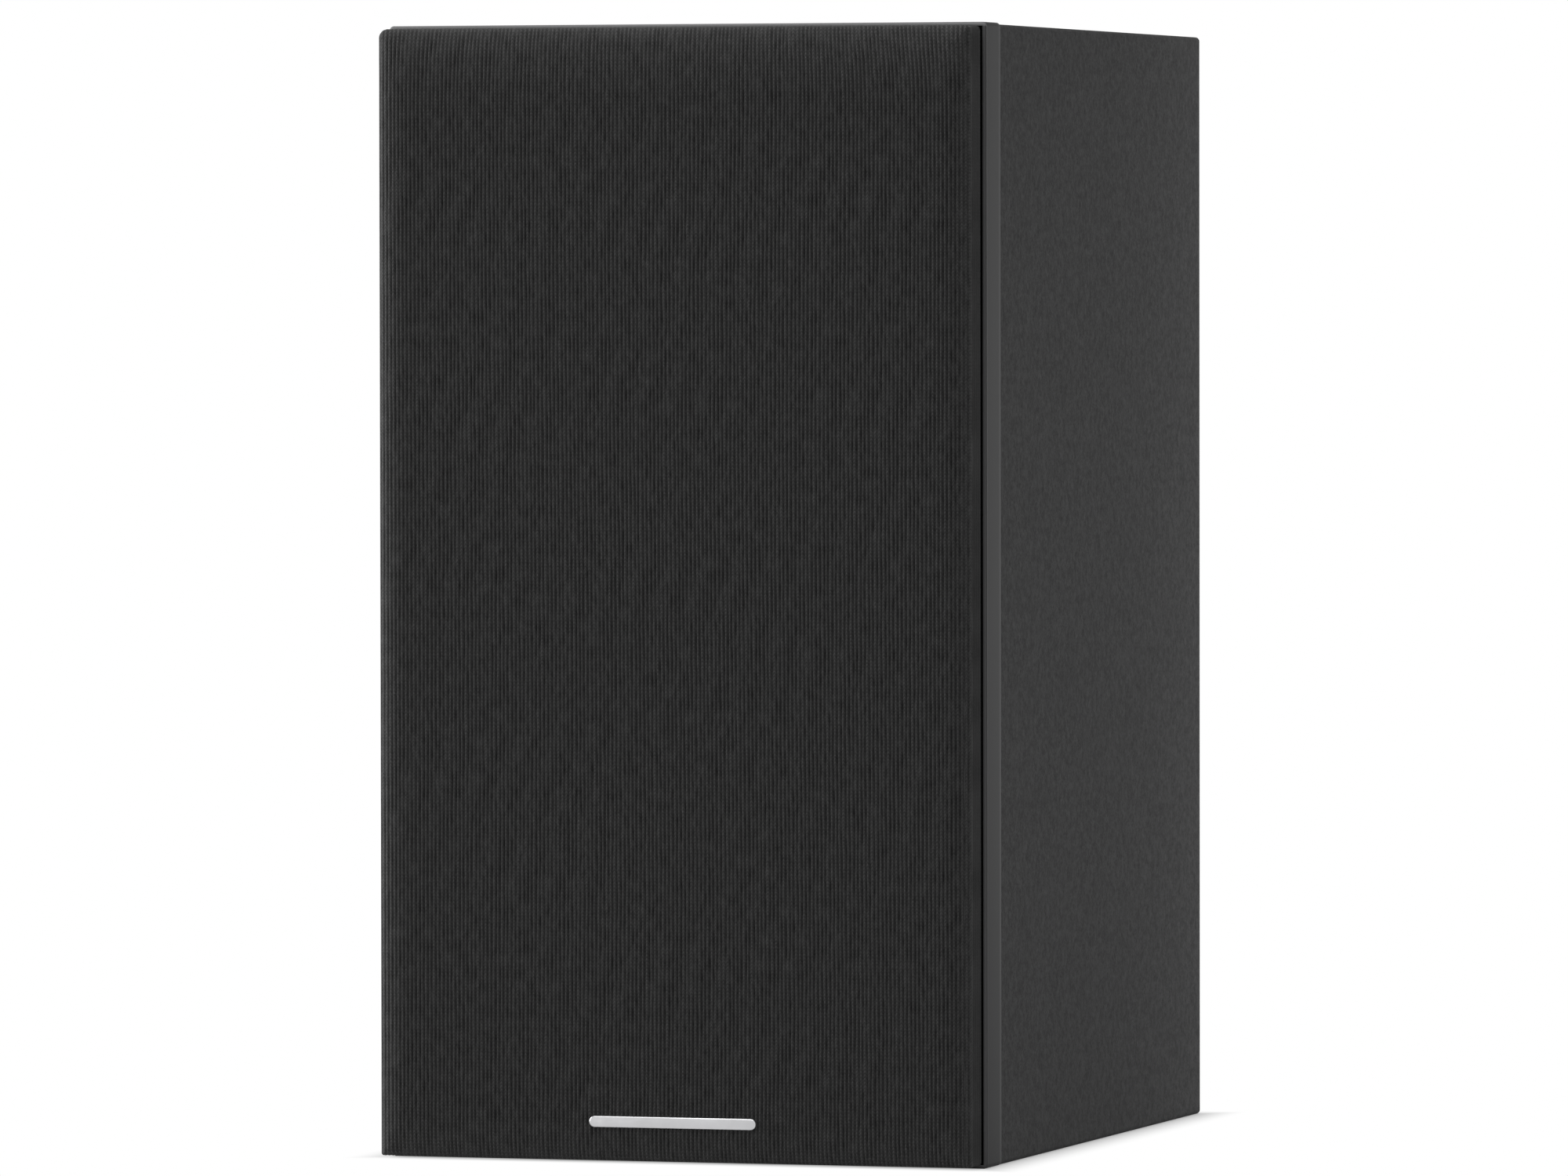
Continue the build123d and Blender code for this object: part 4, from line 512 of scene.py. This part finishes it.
def unroll(half, flat_step, edge_step):
    """Stations measured along the cloth, and where they lie once its edges turn."""
    flat = half - EDGE_REACH
    middle = np.linspace(-flat, flat, 2 * round(flat / flat_step) + 1)
    edge = np.linspace(0, edge_arc, round(edge_arc / edge_step) + 1)[1:]
    along = np.concatenate([-flat - edge[::-1], middle, flat + edge])
    past = np.clip(np.abs(along) - flat, 0, edge_arc)
    inner = np.minimum(np.abs(along), flat)
    turned = inner + EDGE_REACH * np.sin(past / EDGE_REACH)
    length = np.interp(past / EDGE_REACH, turn_angle, turn_length - turn_length[0])
    return np.sign(along) * (inner + length), np.sign(along) * turned


def corner_radius(x, z):
    """Radius of the nearest corner of the outline."""
    return np.where(z > 0, np.where(x > 0, TOP_RIGHT_CORNER, TOP_LEFT_CORNER), FOOT_CORNER)


def edge_limit(x, z):
    """Half height of the outline at x, with its rounded corners."""
    radius = corner_radius(x, z)
    over = np.clip(np.abs(x) - (half_w - radius), 0, radius)
    return half_h - radius + np.sqrt(radius**2 - over**2)


def outline_place(x, z):
    """Distance inside the rounded outline, and the direction out of it along the front."""
    radius = corner_radius(x, z)
    qx = np.abs(x) - (half_w - radius)
    qz = np.abs(z) - (half_h - radius)
    outside = np.hypot(np.maximum(qx, 0), np.maximum(qz, 0))
    inside = radius - outside - np.minimum(np.maximum(qx, qz), 0)
    corner = (qx > 0) & (qz > 0)
    length = np.where(corner, outside, 1)
    out_x = np.where(corner, qx / length, qx > qz) * np.sign(x)
    out_z = np.where(corner, qz / length, qx <= qz) * np.sign(z)
    return np.maximum(inside, 0), out_x, out_z


def seam_calm(x, z):
    """Nought at the four seams, where the side walls meet the end walls and the ribs die out."""
    away = np.hypot(np.abs(x) - half_w, np.abs(z) - (half_h - corner_radius(x, z)))
    return np.clip(away / SEAM_REACH, 0, 1)


WANDER_WAVES = random_waves(how_many=9, size=0.022, most_per_rib=0.55, most_per_metre=60)
SWELL_WAVES = random_waves(how_many=9, size=0.15, most_per_rib=0.14, most_per_metre=70)
column_step = RIB_PITCH / STEPS_PER_RIB
across, columns_x = unroll(half_w, column_step, column_step)
along, rows_z = unroll(half_h, ROW_STEP, EDGE_STEP)
columns, rows = len(across), len(along)

grid_x = np.repeat(columns_x[:, None], rows, axis=1)
grid_z = rows_z[None, :] / half_h * edge_limit(columns_x[:, None], rows_z[None, :])
inside, out_x, out_z = outline_place(grid_x, grid_z)
lean = np.clip(1 - inside / EDGE_REACH, 0, 1)
level = np.sqrt(1 - lean**2)
steep = np.hypot(lean * EDGE_DEPTH, level * EDGE_REACH)
tilt, face = lean * EDGE_DEPTH / steep, level * EDGE_REACH / steep
ribs = rib_count(np.repeat(across[:, None], rows, axis=1), grid_x, grid_z)
firm = stretch(lean, grid_x)
# painted light along the left, right, top and foot edges of the front
upright_light = np.maximum(
    LEFT_LIGHT * np.clip(1 - (half_w + grid_x) / LEFT_REACH, 0, 1) ** 2,
    RIGHT_LIGHT * np.clip(1 - (half_w - grid_x) / RIGHT_REACH, 0, 1),
)
level_light = np.maximum(
    TOP_LIGHT * np.clip(1 - (half_h - grid_z) / TOP_REACH, 0, 1),
    FOOT_LIGHT * np.clip(1 - (half_h + grid_z) / FOOT_REACH, 0, 1),
)
painted_light_and_shade = -np.maximum(upright_light, level_light)
swell = np.clip(1 + uneven(ribs, grid_z, SWELL_WAVES), SWELL_LEAST, SWELL_MOST)
drop = rib_drop(ribs) * seam_calm(grid_x, grid_z) * firm * swell
front = np.stack(
    [
        grid_x - out_x * tilt * drop,
        cloth_low.y + EDGE_DEPTH * (1 - level) + face * drop,
        cloth_mid + grid_z - out_z * tilt * drop,
    ],
    axis=-1,
)
cloth_points = [front.reshape(-1, 3)]
stitch_rows = np.repeat(along[None, :], columns, axis=0) / STITCH_PITCH
cloth_maps = [np.stack([ribs, stitch_rows], -1).reshape(-1, 2)]
cloth_firm_and_light = [np.stack([firm, painted_light_and_shade], -1).reshape(-1, 2)]
cloth_faces = grid_faces(columns, rows)


def wall_patch(pick, wall_rows, ribs_run_back, flip):
    """Side wall and rear lip behind one edge of the front, whose ribs reach round it."""
    x, z, ox, oz = grid_x[pick], grid_z[pick], out_x[pick], out_z[pick]
    back = np.append(np.linspace(EDGE_DEPTH, cloth_depth, wall_rows), cloth_depth)
    tuck = np.append(np.zeros(wall_rows), LIP)
    behind = (back - EDGE_DEPTH)[None, :]
    count = ribs[pick][:, None] + 0 * behind
    if not ribs_run_back:
        count = count + np.sign(x)[:, None] * behind / RIB_PITCH
    turned = np.clip(behind / EDGE_DEPTH, 0, 1)
    ease = stretch(1, x)[:, None] * (1 - WALL_EASE * turned)
    depth = (seam_calm(x, z) * swell[pick])[:, None] * ease * (tuck == 0)
    inward = rib_drop(count) * depth + tuck
    place = np.stack(
        [
            x[:, None] - ox[:, None] * inward,
            cloth_low.y + back[None, :] + 0 * inward,
            cloth_mid + z[:, None] - oz[:, None] * inward,
        ],
        axis=-1,
    )
    stitches = (behind if ribs_run_back else z[:, None]) / STITCH_PITCH + 0 * count
    cloth_faces.extend(grid_faces(len(x), len(back), sum(map(len, cloth_points)), flip))
    cloth_points.append(place.reshape(-1, 3))
    cloth_maps.append(np.stack([count, stitches], -1).reshape(-1, 2))
    # painted shade on the side walls, blending from the painted light at the front's edges
    wall_light_and_shade = painted_light_and_shade[pick][:, None] * (1 - turned) + WALL_PAINTED_SHADE * turned
    cloth_firm_and_light.append(np.stack([ease, wall_light_and_shade], -1).reshape(-1, 2))


every = slice(None)
side_rows = int(round((cloth_depth - EDGE_DEPTH) / column_step)) + 1
wall_patch((every, 0), END_ROWS, True, True)
wall_patch((every, -1), END_ROWS, True, False)
wall_patch((0, every), side_rows, False, False)
wall_patch((-1, every), side_rows, False, True)

cloth = mesh_piece("knit_cloth", np.concatenate(cloth_points), cloth_faces, "grille_cloth")
loop_points = np.zeros(len(cloth.data.loops), dtype=np.int32)
cloth.data.loops.foreach_get("vertex_index", loop_points)
for map_name, values in (("ribs", cloth_maps), ("firmness", cloth_firm_and_light)):
    uv_map = cloth.data.uv_layers.new(name=map_name)
    places = np.concatenate(values).astype(np.float32)[loop_points]
    uv_map.data.foreach_set("uv", places.ravel())
weld = bmesh.new()
weld.from_mesh(cloth.data)
bmesh.ops.remove_doubles(weld, verts=weld.verts, dist=WELD)
weld.to_mesh(cloth.data)
weld.free()
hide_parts("grille_cloth")
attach(cloth, "grille")

# Blank badge: a plain satin bar at the foot of the cloth, with no mark on it
BADGE_WIDTH = 46 * MM
BADGE_HEIGHT = 3.0 * MM
BADGE_RISE = 11.3 * MM
BADGE_STEPS = 12
BADGE_RINGS = (  # inset from the full size, and depth behind the front of the cloth
    (0.0, 0.9 * MM),
    (0.0, -0.2 * MM),
    (0.18 * MM, -0.38 * MM),
    (0.4 * MM, -0.45 * MM),
)


def badge_ring(inset, depth):
    """Bar outline with round ends, drawn in from the full size, at a depth in the cloth."""
    radius = BADGE_HEIGHT / 2 - inset
    made = []
    for side in (1, -1):
        centre = side * (BADGE_WIDTH - BADGE_HEIGHT) / 2
        for step in range(BADGE_STEPS + 1):
            angle = math.pi * (step / BADGE_STEPS - side / 2)
            x = centre + radius * math.cos(angle)
            made.append((x, cloth_low.y + depth, BADGE_RISE + radius * math.sin(angle)))
    return made


badge_points = [point for ring in BADGE_RINGS for point in badge_ring(*ring)]
per_ring = 2 * (BADGE_STEPS + 1)
last_ring = len(badge_points) - per_ring
badge_faces = [
    tuple(range(per_ring))[::-1],
    tuple(range(last_ring, len(badge_points))),
]
for ring in range(len(BADGE_RINGS) - 1):
    for step in range(per_ring):
        a = ring * per_ring + step
        b = ring * per_ring + (step + 1) % per_ring
        badge_faces.append((a, b, b + per_ring, a + per_ring))
badge = mesh_piece("badge_bar", badge_points, badge_faces, "motor_steel")
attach(badge, "grille")


def ring_piece(name, profile, centre_z, slot, steps=160):
    """Mesh of revolution about the drivers' axis, from a closed profile of (radius, y) points."""
    points, faces = [], []
    count = len(profile)
    for step in range(steps):
        angle = math.tau * step / steps
        for radius, y in profile:
            points.append((radius * math.cos(angle), y, centre_z + radius * math.sin(angle)))
    for step in range(steps):
        for place in range(count):
            a = step * count + place
            b = step * count + (place + 1) % count
            c = (step + 1) % steps * count
            faces.append((a, b, c + (place + 1) % count, c + place))
    return mesh_piece(name, points, faces, slot)


def follow_stroke(piece):
    """Bakes the piece's placement into its mesh and reads out its points."""
    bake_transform(piece)
    at = np.zeros(len(piece.data.vertices) * 3)
    piece.data.vertices.foreach_get("co", at)
    at = at.reshape(-1, 3)


# Woofer surround: a rubber half roll between the cone's rim and the basket
RUBBER = 0.8 * MM
CONE_RIM = 3.0 * MM
ROLL_STEPS = 24
surround_low, surround_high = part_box("woofer_surround")
woofer_z = (surround_low.z + surround_high.z) / 2
lap_outer = half_width("woofer_surround")
cone_radius = half_width("woofer_cone")
basket_y = surround_high.y
roll_rise = basket_y - surround_low.y
roll_centre = cone_radius + roll_rise
profile = [(cone_radius - CONE_RIM, basket_y), (cone_radius - CONE_RIM, basket_y - RUBBER)]
for step in range(ROLL_STEPS + 1):
    angle = math.pi * (1 - step / ROLL_STEPS)
    rise = max(roll_rise * math.sin(angle), RUBBER)
    profile.append((roll_centre + roll_rise * math.cos(angle), basket_y - rise))
profile += [(lap_outer, basket_y - RUBBER), (lap_outer, basket_y)]
inner_roll = roll_rise - RUBBER
for step in range(ROLL_STEPS + 1):
    angle = math.pi * step / ROLL_STEPS
    radius = roll_centre + inner_roll * math.cos(angle)
    profile.append((radius, basket_y - inner_roll * math.sin(angle)))
surround = ring_piece("rubber_surround", profile, woofer_z, "surround_rubber")
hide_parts("woofer_surround")
follow_stroke(surround)

# Woofer spider: a corrugated cloth disc from the coil former to the basket's shelf
GLUE_GAP = 0.1 * MM
SPIDER_CLOTH = 0.6 * MM
SPIDER_COLLAR = 2 * MM
SPIDER_RIM = 8 * MM
WAVES = 4
WAVE_STEPS = 16
spider_low, spider_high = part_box("woofer_spider")
spider_outer = half_width("woofer_spider")
spider_inner = half_width("woofer_coil_former") + GLUE_GAP
shelf_y = (spider_low.y + spider_high.y) / 2
wave_rise = (spider_high.y - spider_low.y - SPIDER_CLOTH) / 2
wave_start, wave_end = spider_inner + SPIDER_COLLAR, spider_outer - SPIDER_RIM
waved = [(spider_inner, 0.0)]
for step in range(WAVES * WAVE_STEPS + 1):
    share = step / (WAVES * WAVE_STEPS)
    radius = wave_start + (wave_end - wave_start) * share
    waved.append((radius, wave_rise * math.sin(math.tau * WAVES * share)))
waved.append((spider_outer, 0.0))
profile = [(r, shelf_y - SPIDER_CLOTH / 2 - rise) for r, rise in waved]
profile += [(r, shelf_y + SPIDER_CLOTH / 2 - rise) for r, rise in reversed(waved)]
spider = ring_piece("corrugated_spider", profile, woofer_z, "spider_cloth")
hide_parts("woofer_spider")
follow_stroke(spider)

# Tweeter surround: a small cloth roll outside the dome
SILK = 0.3 * MM
DOME_LAP = 1.6 * MM
SILK_STEPS = 16
SILK_SECTIONS = 96
ring_low, ring_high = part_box("tweeter_surround")
tweeter_z = (ring_low.z + ring_high.z) / 2
lap_radius = half_width("tweeter_surround")
dome_radius = half_width("tweeter_dome") + GLUE_GAP
roll_foot = lap_radius - DOME_LAP
silk_rise = ring_high.y - ring_low.y - SILK
middle, reach = (dome_radius + roll_foot) / 2, (roll_foot - dome_radius) / 2
curve = []
for step in range(SILK_STEPS + 1):
    angle = math.pi * (1 - step / SILK_STEPS)
    curve.append((middle + reach * math.cos(angle), silk_rise * math.sin(angle)))
curve.append((lap_radius, 0.0))
profile = [(r, ring_high.y - SILK - rise) for r, rise in curve]
profile += [(r, ring_high.y - rise) for r, rise in reversed(curve)]
silk_roll = ring_piece("dome_surround", profile, tweeter_z, "dome_silk", SILK_SECTIONS)
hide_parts("tweeter_surround")
follow_stroke(silk_roll)

# Wadding: fleecy sheets in the place of the plain slabs, thicker in the middle than at their edges
WADDING_THICKNESS = 12 * MM
FLEECE_STEP = 4 * MM
FLEECE_EDGE = 9 * MM  # the pads thin out within this distance of their edges
EDGE_SHARE = 0.12
FLEECE_LEVEL, FLEECE_LUMPS, LUMP_LEVEL = 0.72, 0.5, 0.25
SMOOTH_PASSES = 3
PAD_MARGIN = 6 * MM  # below the brace, and beside the pad under the top
fleece_low, fleece_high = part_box("damping_wadding")
generator = np.random.default_rng(5)


def fleece_sheet(name, origin, along, up, out, length, height):
    """A lumpy pad on a panel: origin is one corner, out points away from the panel."""
    n, m = int(length / FLEECE_STEP) + 1, int(height / FLEECE_STEP) + 1
    rough = generator.random((n, m))
    for _ in range(SMOOTH_PASSES):
        rough = (
            rough
            + np.roll(rough, 1, 0)
            + np.roll(rough, -1, 0)
            + np.roll(rough, 1, 1)
            + np.roll(rough, -1, 1)
        ) / 5
    points = []
    for layer in (0, 1):
        for i in range(n):
            for j in range(m):
                u, v = i / (n - 1), j / (m - 1)
                edge = min(min(u, 1 - u) * length, min(v, 1 - v) * height)
                crown = math.sqrt(min(1.0, edge / FLEECE_EDGE + EDGE_SHARE))
                lumps = FLEECE_LEVEL + FLEECE_LUMPS * (rough[i, j] - LUMP_LEVEL)
                rise = min(WADDING_THICKNESS * crown * lumps, WADDING_THICKNESS) * layer
                points.append(origin + along * (u * length) + up * (v * height) + out * rise)
    faces = grid_faces(n, m) + grid_faces(n, m, n * m, True)
    rim = [i * m for i in range(n)] + [(n - 1) * m + j for j in range(1, m)]
    rim += [i * m + m - 1 for i in range(n - 2, -1, -1)] + [j for j in range(m - 2, 0, -1)]
    for a, b in zip(rim, rim[1:] + rim[:1]):
        faces.append((b, a, a + n * m, b + n * m))
    pad = mesh_piece(name, points, faces, "wadding")
    if along.cross(up).dot(out) > 0:
        pad.data.flip_normals()
    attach(pad, "cabinet")
    return pad


RIGHT, REAR, UP = Vector((1, 0, 0)), Vector((0, 1, 0)), Vector((0, 0, 1))
pad_length = fleece_high.y - fleece_low.y
side_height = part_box("window_brace")[0].z - PAD_MARGIN - fleece_low.z
top_width = fleece_high.x - fleece_low.x - 2 * PAD_MARGIN
right_corner = Vector((fleece_high.x, fleece_low.y, fleece_low.z))
top_corner = Vector((fleece_low.x + PAD_MARGIN, fleece_low.y, fleece_high.z))
right_pad = fleece_sheet("wadding_right", right_corner, REAR, UP, -RIGHT, pad_length, side_height)
fleece_sheet("wadding_left", fleece_low, REAR, UP, RIGHT, pad_length, side_height)
fleece_sheet("wadding_top", top_corner, REAR, RIGHT, -UP, pad_length, top_width)
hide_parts("damping_wadding")

# Stage: a white floor that keeps the shadow near the speaker and runs out into a white background
SHADOW_NEAR, SHADOW_FAR = -8 * MM, 12 * MM  # distances from the base where the shadow fades
FLOOR_HALF = 6
WORLD_LIGHT = 0.13
floor_mesh = bpy.data.meshes.new("floor")
floor_corners = [
    (-FLOOR_HALF, -FLOOR_HALF, 0),
    (FLOOR_HALF, -FLOOR_HALF, 0),
    (FLOOR_HALF, FLOOR_HALF, 0),
    (-FLOOR_HALF, FLOOR_HALF, 0),
]
floor_mesh.from_pydata(floor_corners, [], [(0, 1, 2, 3)])
floor = bpy.data.objects.new("floor", floor_mesh)
bpy.context.scene.collection.objects.link(floor)
paper = Finish("floor_paper", (0.62, 0.62, 0.62), 0.9, Specular_IOR_Level=0.1)
ground_x, ground_y, _ = paper.axes()
side_x, front_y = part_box("right_side_panel")[1].x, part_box("front_baffle")[0].y
beside = paper.math("SUBTRACT", paper.math("ABSOLUTE", ground_x), side_x)
ahead = paper.math("SUBTRACT", paper.math("ABSOLUTE", ground_y), -front_y)
fade = paper.node(
    "ShaderNodeMapRange",
    {"interpolation_type": "SMOOTHSTEP"},
    Value=paper.math("MAXIMUM", beside, ahead),
    From_Min=SHADOW_NEAR,
    From_Max=SHADOW_FAR,
)
rays = paper.node("ShaderNodeLightPath")
seen = paper.math("MAXIMUM", rays.outputs["Is Camera Ray"], rays.outputs["Is Glossy Ray"])
seen = paper.math("MAXIMUM", seen, rays.outputs["Is Transmission Ray"])
white = paper.node("ShaderNodeEmission")
blend = paper.node("ShaderNodeMixShader")
paper.feed(blend.inputs["Fac"], paper.math("MULTIPLY", fade.outputs["Result"], seen))
paper.feed(blend.inputs[1], paper.shader.outputs["BSDF"])
paper.feed(blend.inputs[2], white.outputs["Emission"])
paper.feed(paper.tree.nodes["Material Output"].inputs["Surface"], blend.outputs["Shader"])
floor_mesh.materials.append(paper.material)

world = bpy.data.worlds.new("studio")
bpy.context.scene.world = world
world.use_nodes = True
sky = world.node_tree
sky_light = sky.nodes["Background"]
sky_light.inputs["Color"].default_value = (WORLD_LIGHT, WORLD_LIGHT, WORLD_LIGHT, 1)
sky_white = sky.nodes.new("ShaderNodeBackground")
sky_white.inputs["Color"].default_value = (1, 1, 1, 1)
sky_rays = sky.nodes.new("ShaderNodeLightPath")
sky_mix = sky.nodes.new("ShaderNodeMixShader")
sky_seen = sky_rays.outputs["Is Camera Ray"]
for ray in ("Is Glossy Ray", "Is Transmission Ray"):
    widest = sky.nodes.new("ShaderNodeMath")
    widest.operation = "MAXIMUM"
    sky.links.new(sky_seen, widest.inputs[0])
    sky.links.new(sky_rays.outputs[ray], widest.inputs[1])
    sky_seen = widest.outputs["Value"]
sky.links.new(sky_seen, sky_mix.inputs["Fac"])
sky.links.new(sky_light.outputs["Background"], sky_mix.inputs[1])
sky.links.new(sky_white.outputs["Background"], sky_mix.inputs[2])
sky.links.new(sky_mix.outputs["Shader"], sky.nodes["World Output"].inputs["Surface"])


def softbox(name, place, aim, width, height, power):
    """Large rectangular lamp that faces a point on the speaker."""
    lamp = bpy.data.lights.new(name, "AREA")
    lamp.shape = "RECTANGLE"
    lamp.size, lamp.size_y = width, height
    lamp.energy = power
    holder = bpy.data.objects.new(name, lamp)
    holder.location = place
    holder.rotation_euler = (Vector(aim) - Vector(place)).to_track_quat("-Z", "Y").to_euler()
    bpy.context.scene.collection.objects.link(holder)


MIDDLE = (0, 0, 0.15)
softbox("key_left", (-1.6, -0.25, 0.45), MIDDLE, 0.9, 1.1, 34)
softbox("fill_right", (0.6, 0.65, 0.08), MIDDLE, 0.6, 0.8, 5.6)
softbox("overhead", (0, -0.35, 1.4), MIDDLE, 1.2, 1.2, 16)

# Camera: placed by fitting the corners of the grille, baffle and sleeve in the photograph
AZIMUTH, ELEVATION, ROLL = math.radians(17.298), math.radians(1.5614), math.radians(-0.0853)
DISTANCE = 3.26376
FOCAL_PIXELS, IMAGE_WIDTH = 15306.6, 2000
AIM_X, AIM_BEHIND_BAFFLE, AIM_HEIGHT = -0.006, 0.106, 0.14872
SENSOR_MM = 36
CAMERA_REACH = 50
aim = Vector((AIM_X, front_y + AIM_BEHIND_BAFFLE, AIM_HEIGHT))
back = Vector(
    (
        math.sin(AZIMUTH) * math.cos(ELEVATION),
        -math.cos(AZIMUTH) * math.cos(ELEVATION),
        math.sin(ELEVATION),
    )
)
lens = bpy.data.cameras.new("camera")
lens.sensor_width = SENSOR_MM
lens.lens = SENSOR_MM * FOCAL_PIXELS / IMAGE_WIDTH
lens.clip_end = CAMERA_REACH
camera = bpy.data.objects.new("camera", lens)
camera.location = aim + back * DISTANCE
upright = (-back).to_track_quat("-Z", "Y").to_matrix()
camera.rotation_euler = (upright @ Matrix.Rotation(ROLL, 3, "Z")).to_euler()
bpy.context.scene.collection.objects.link(camera)
bpy.context.scene.camera = camera
bpy.context.scene.view_settings.view_transform = "Standard"
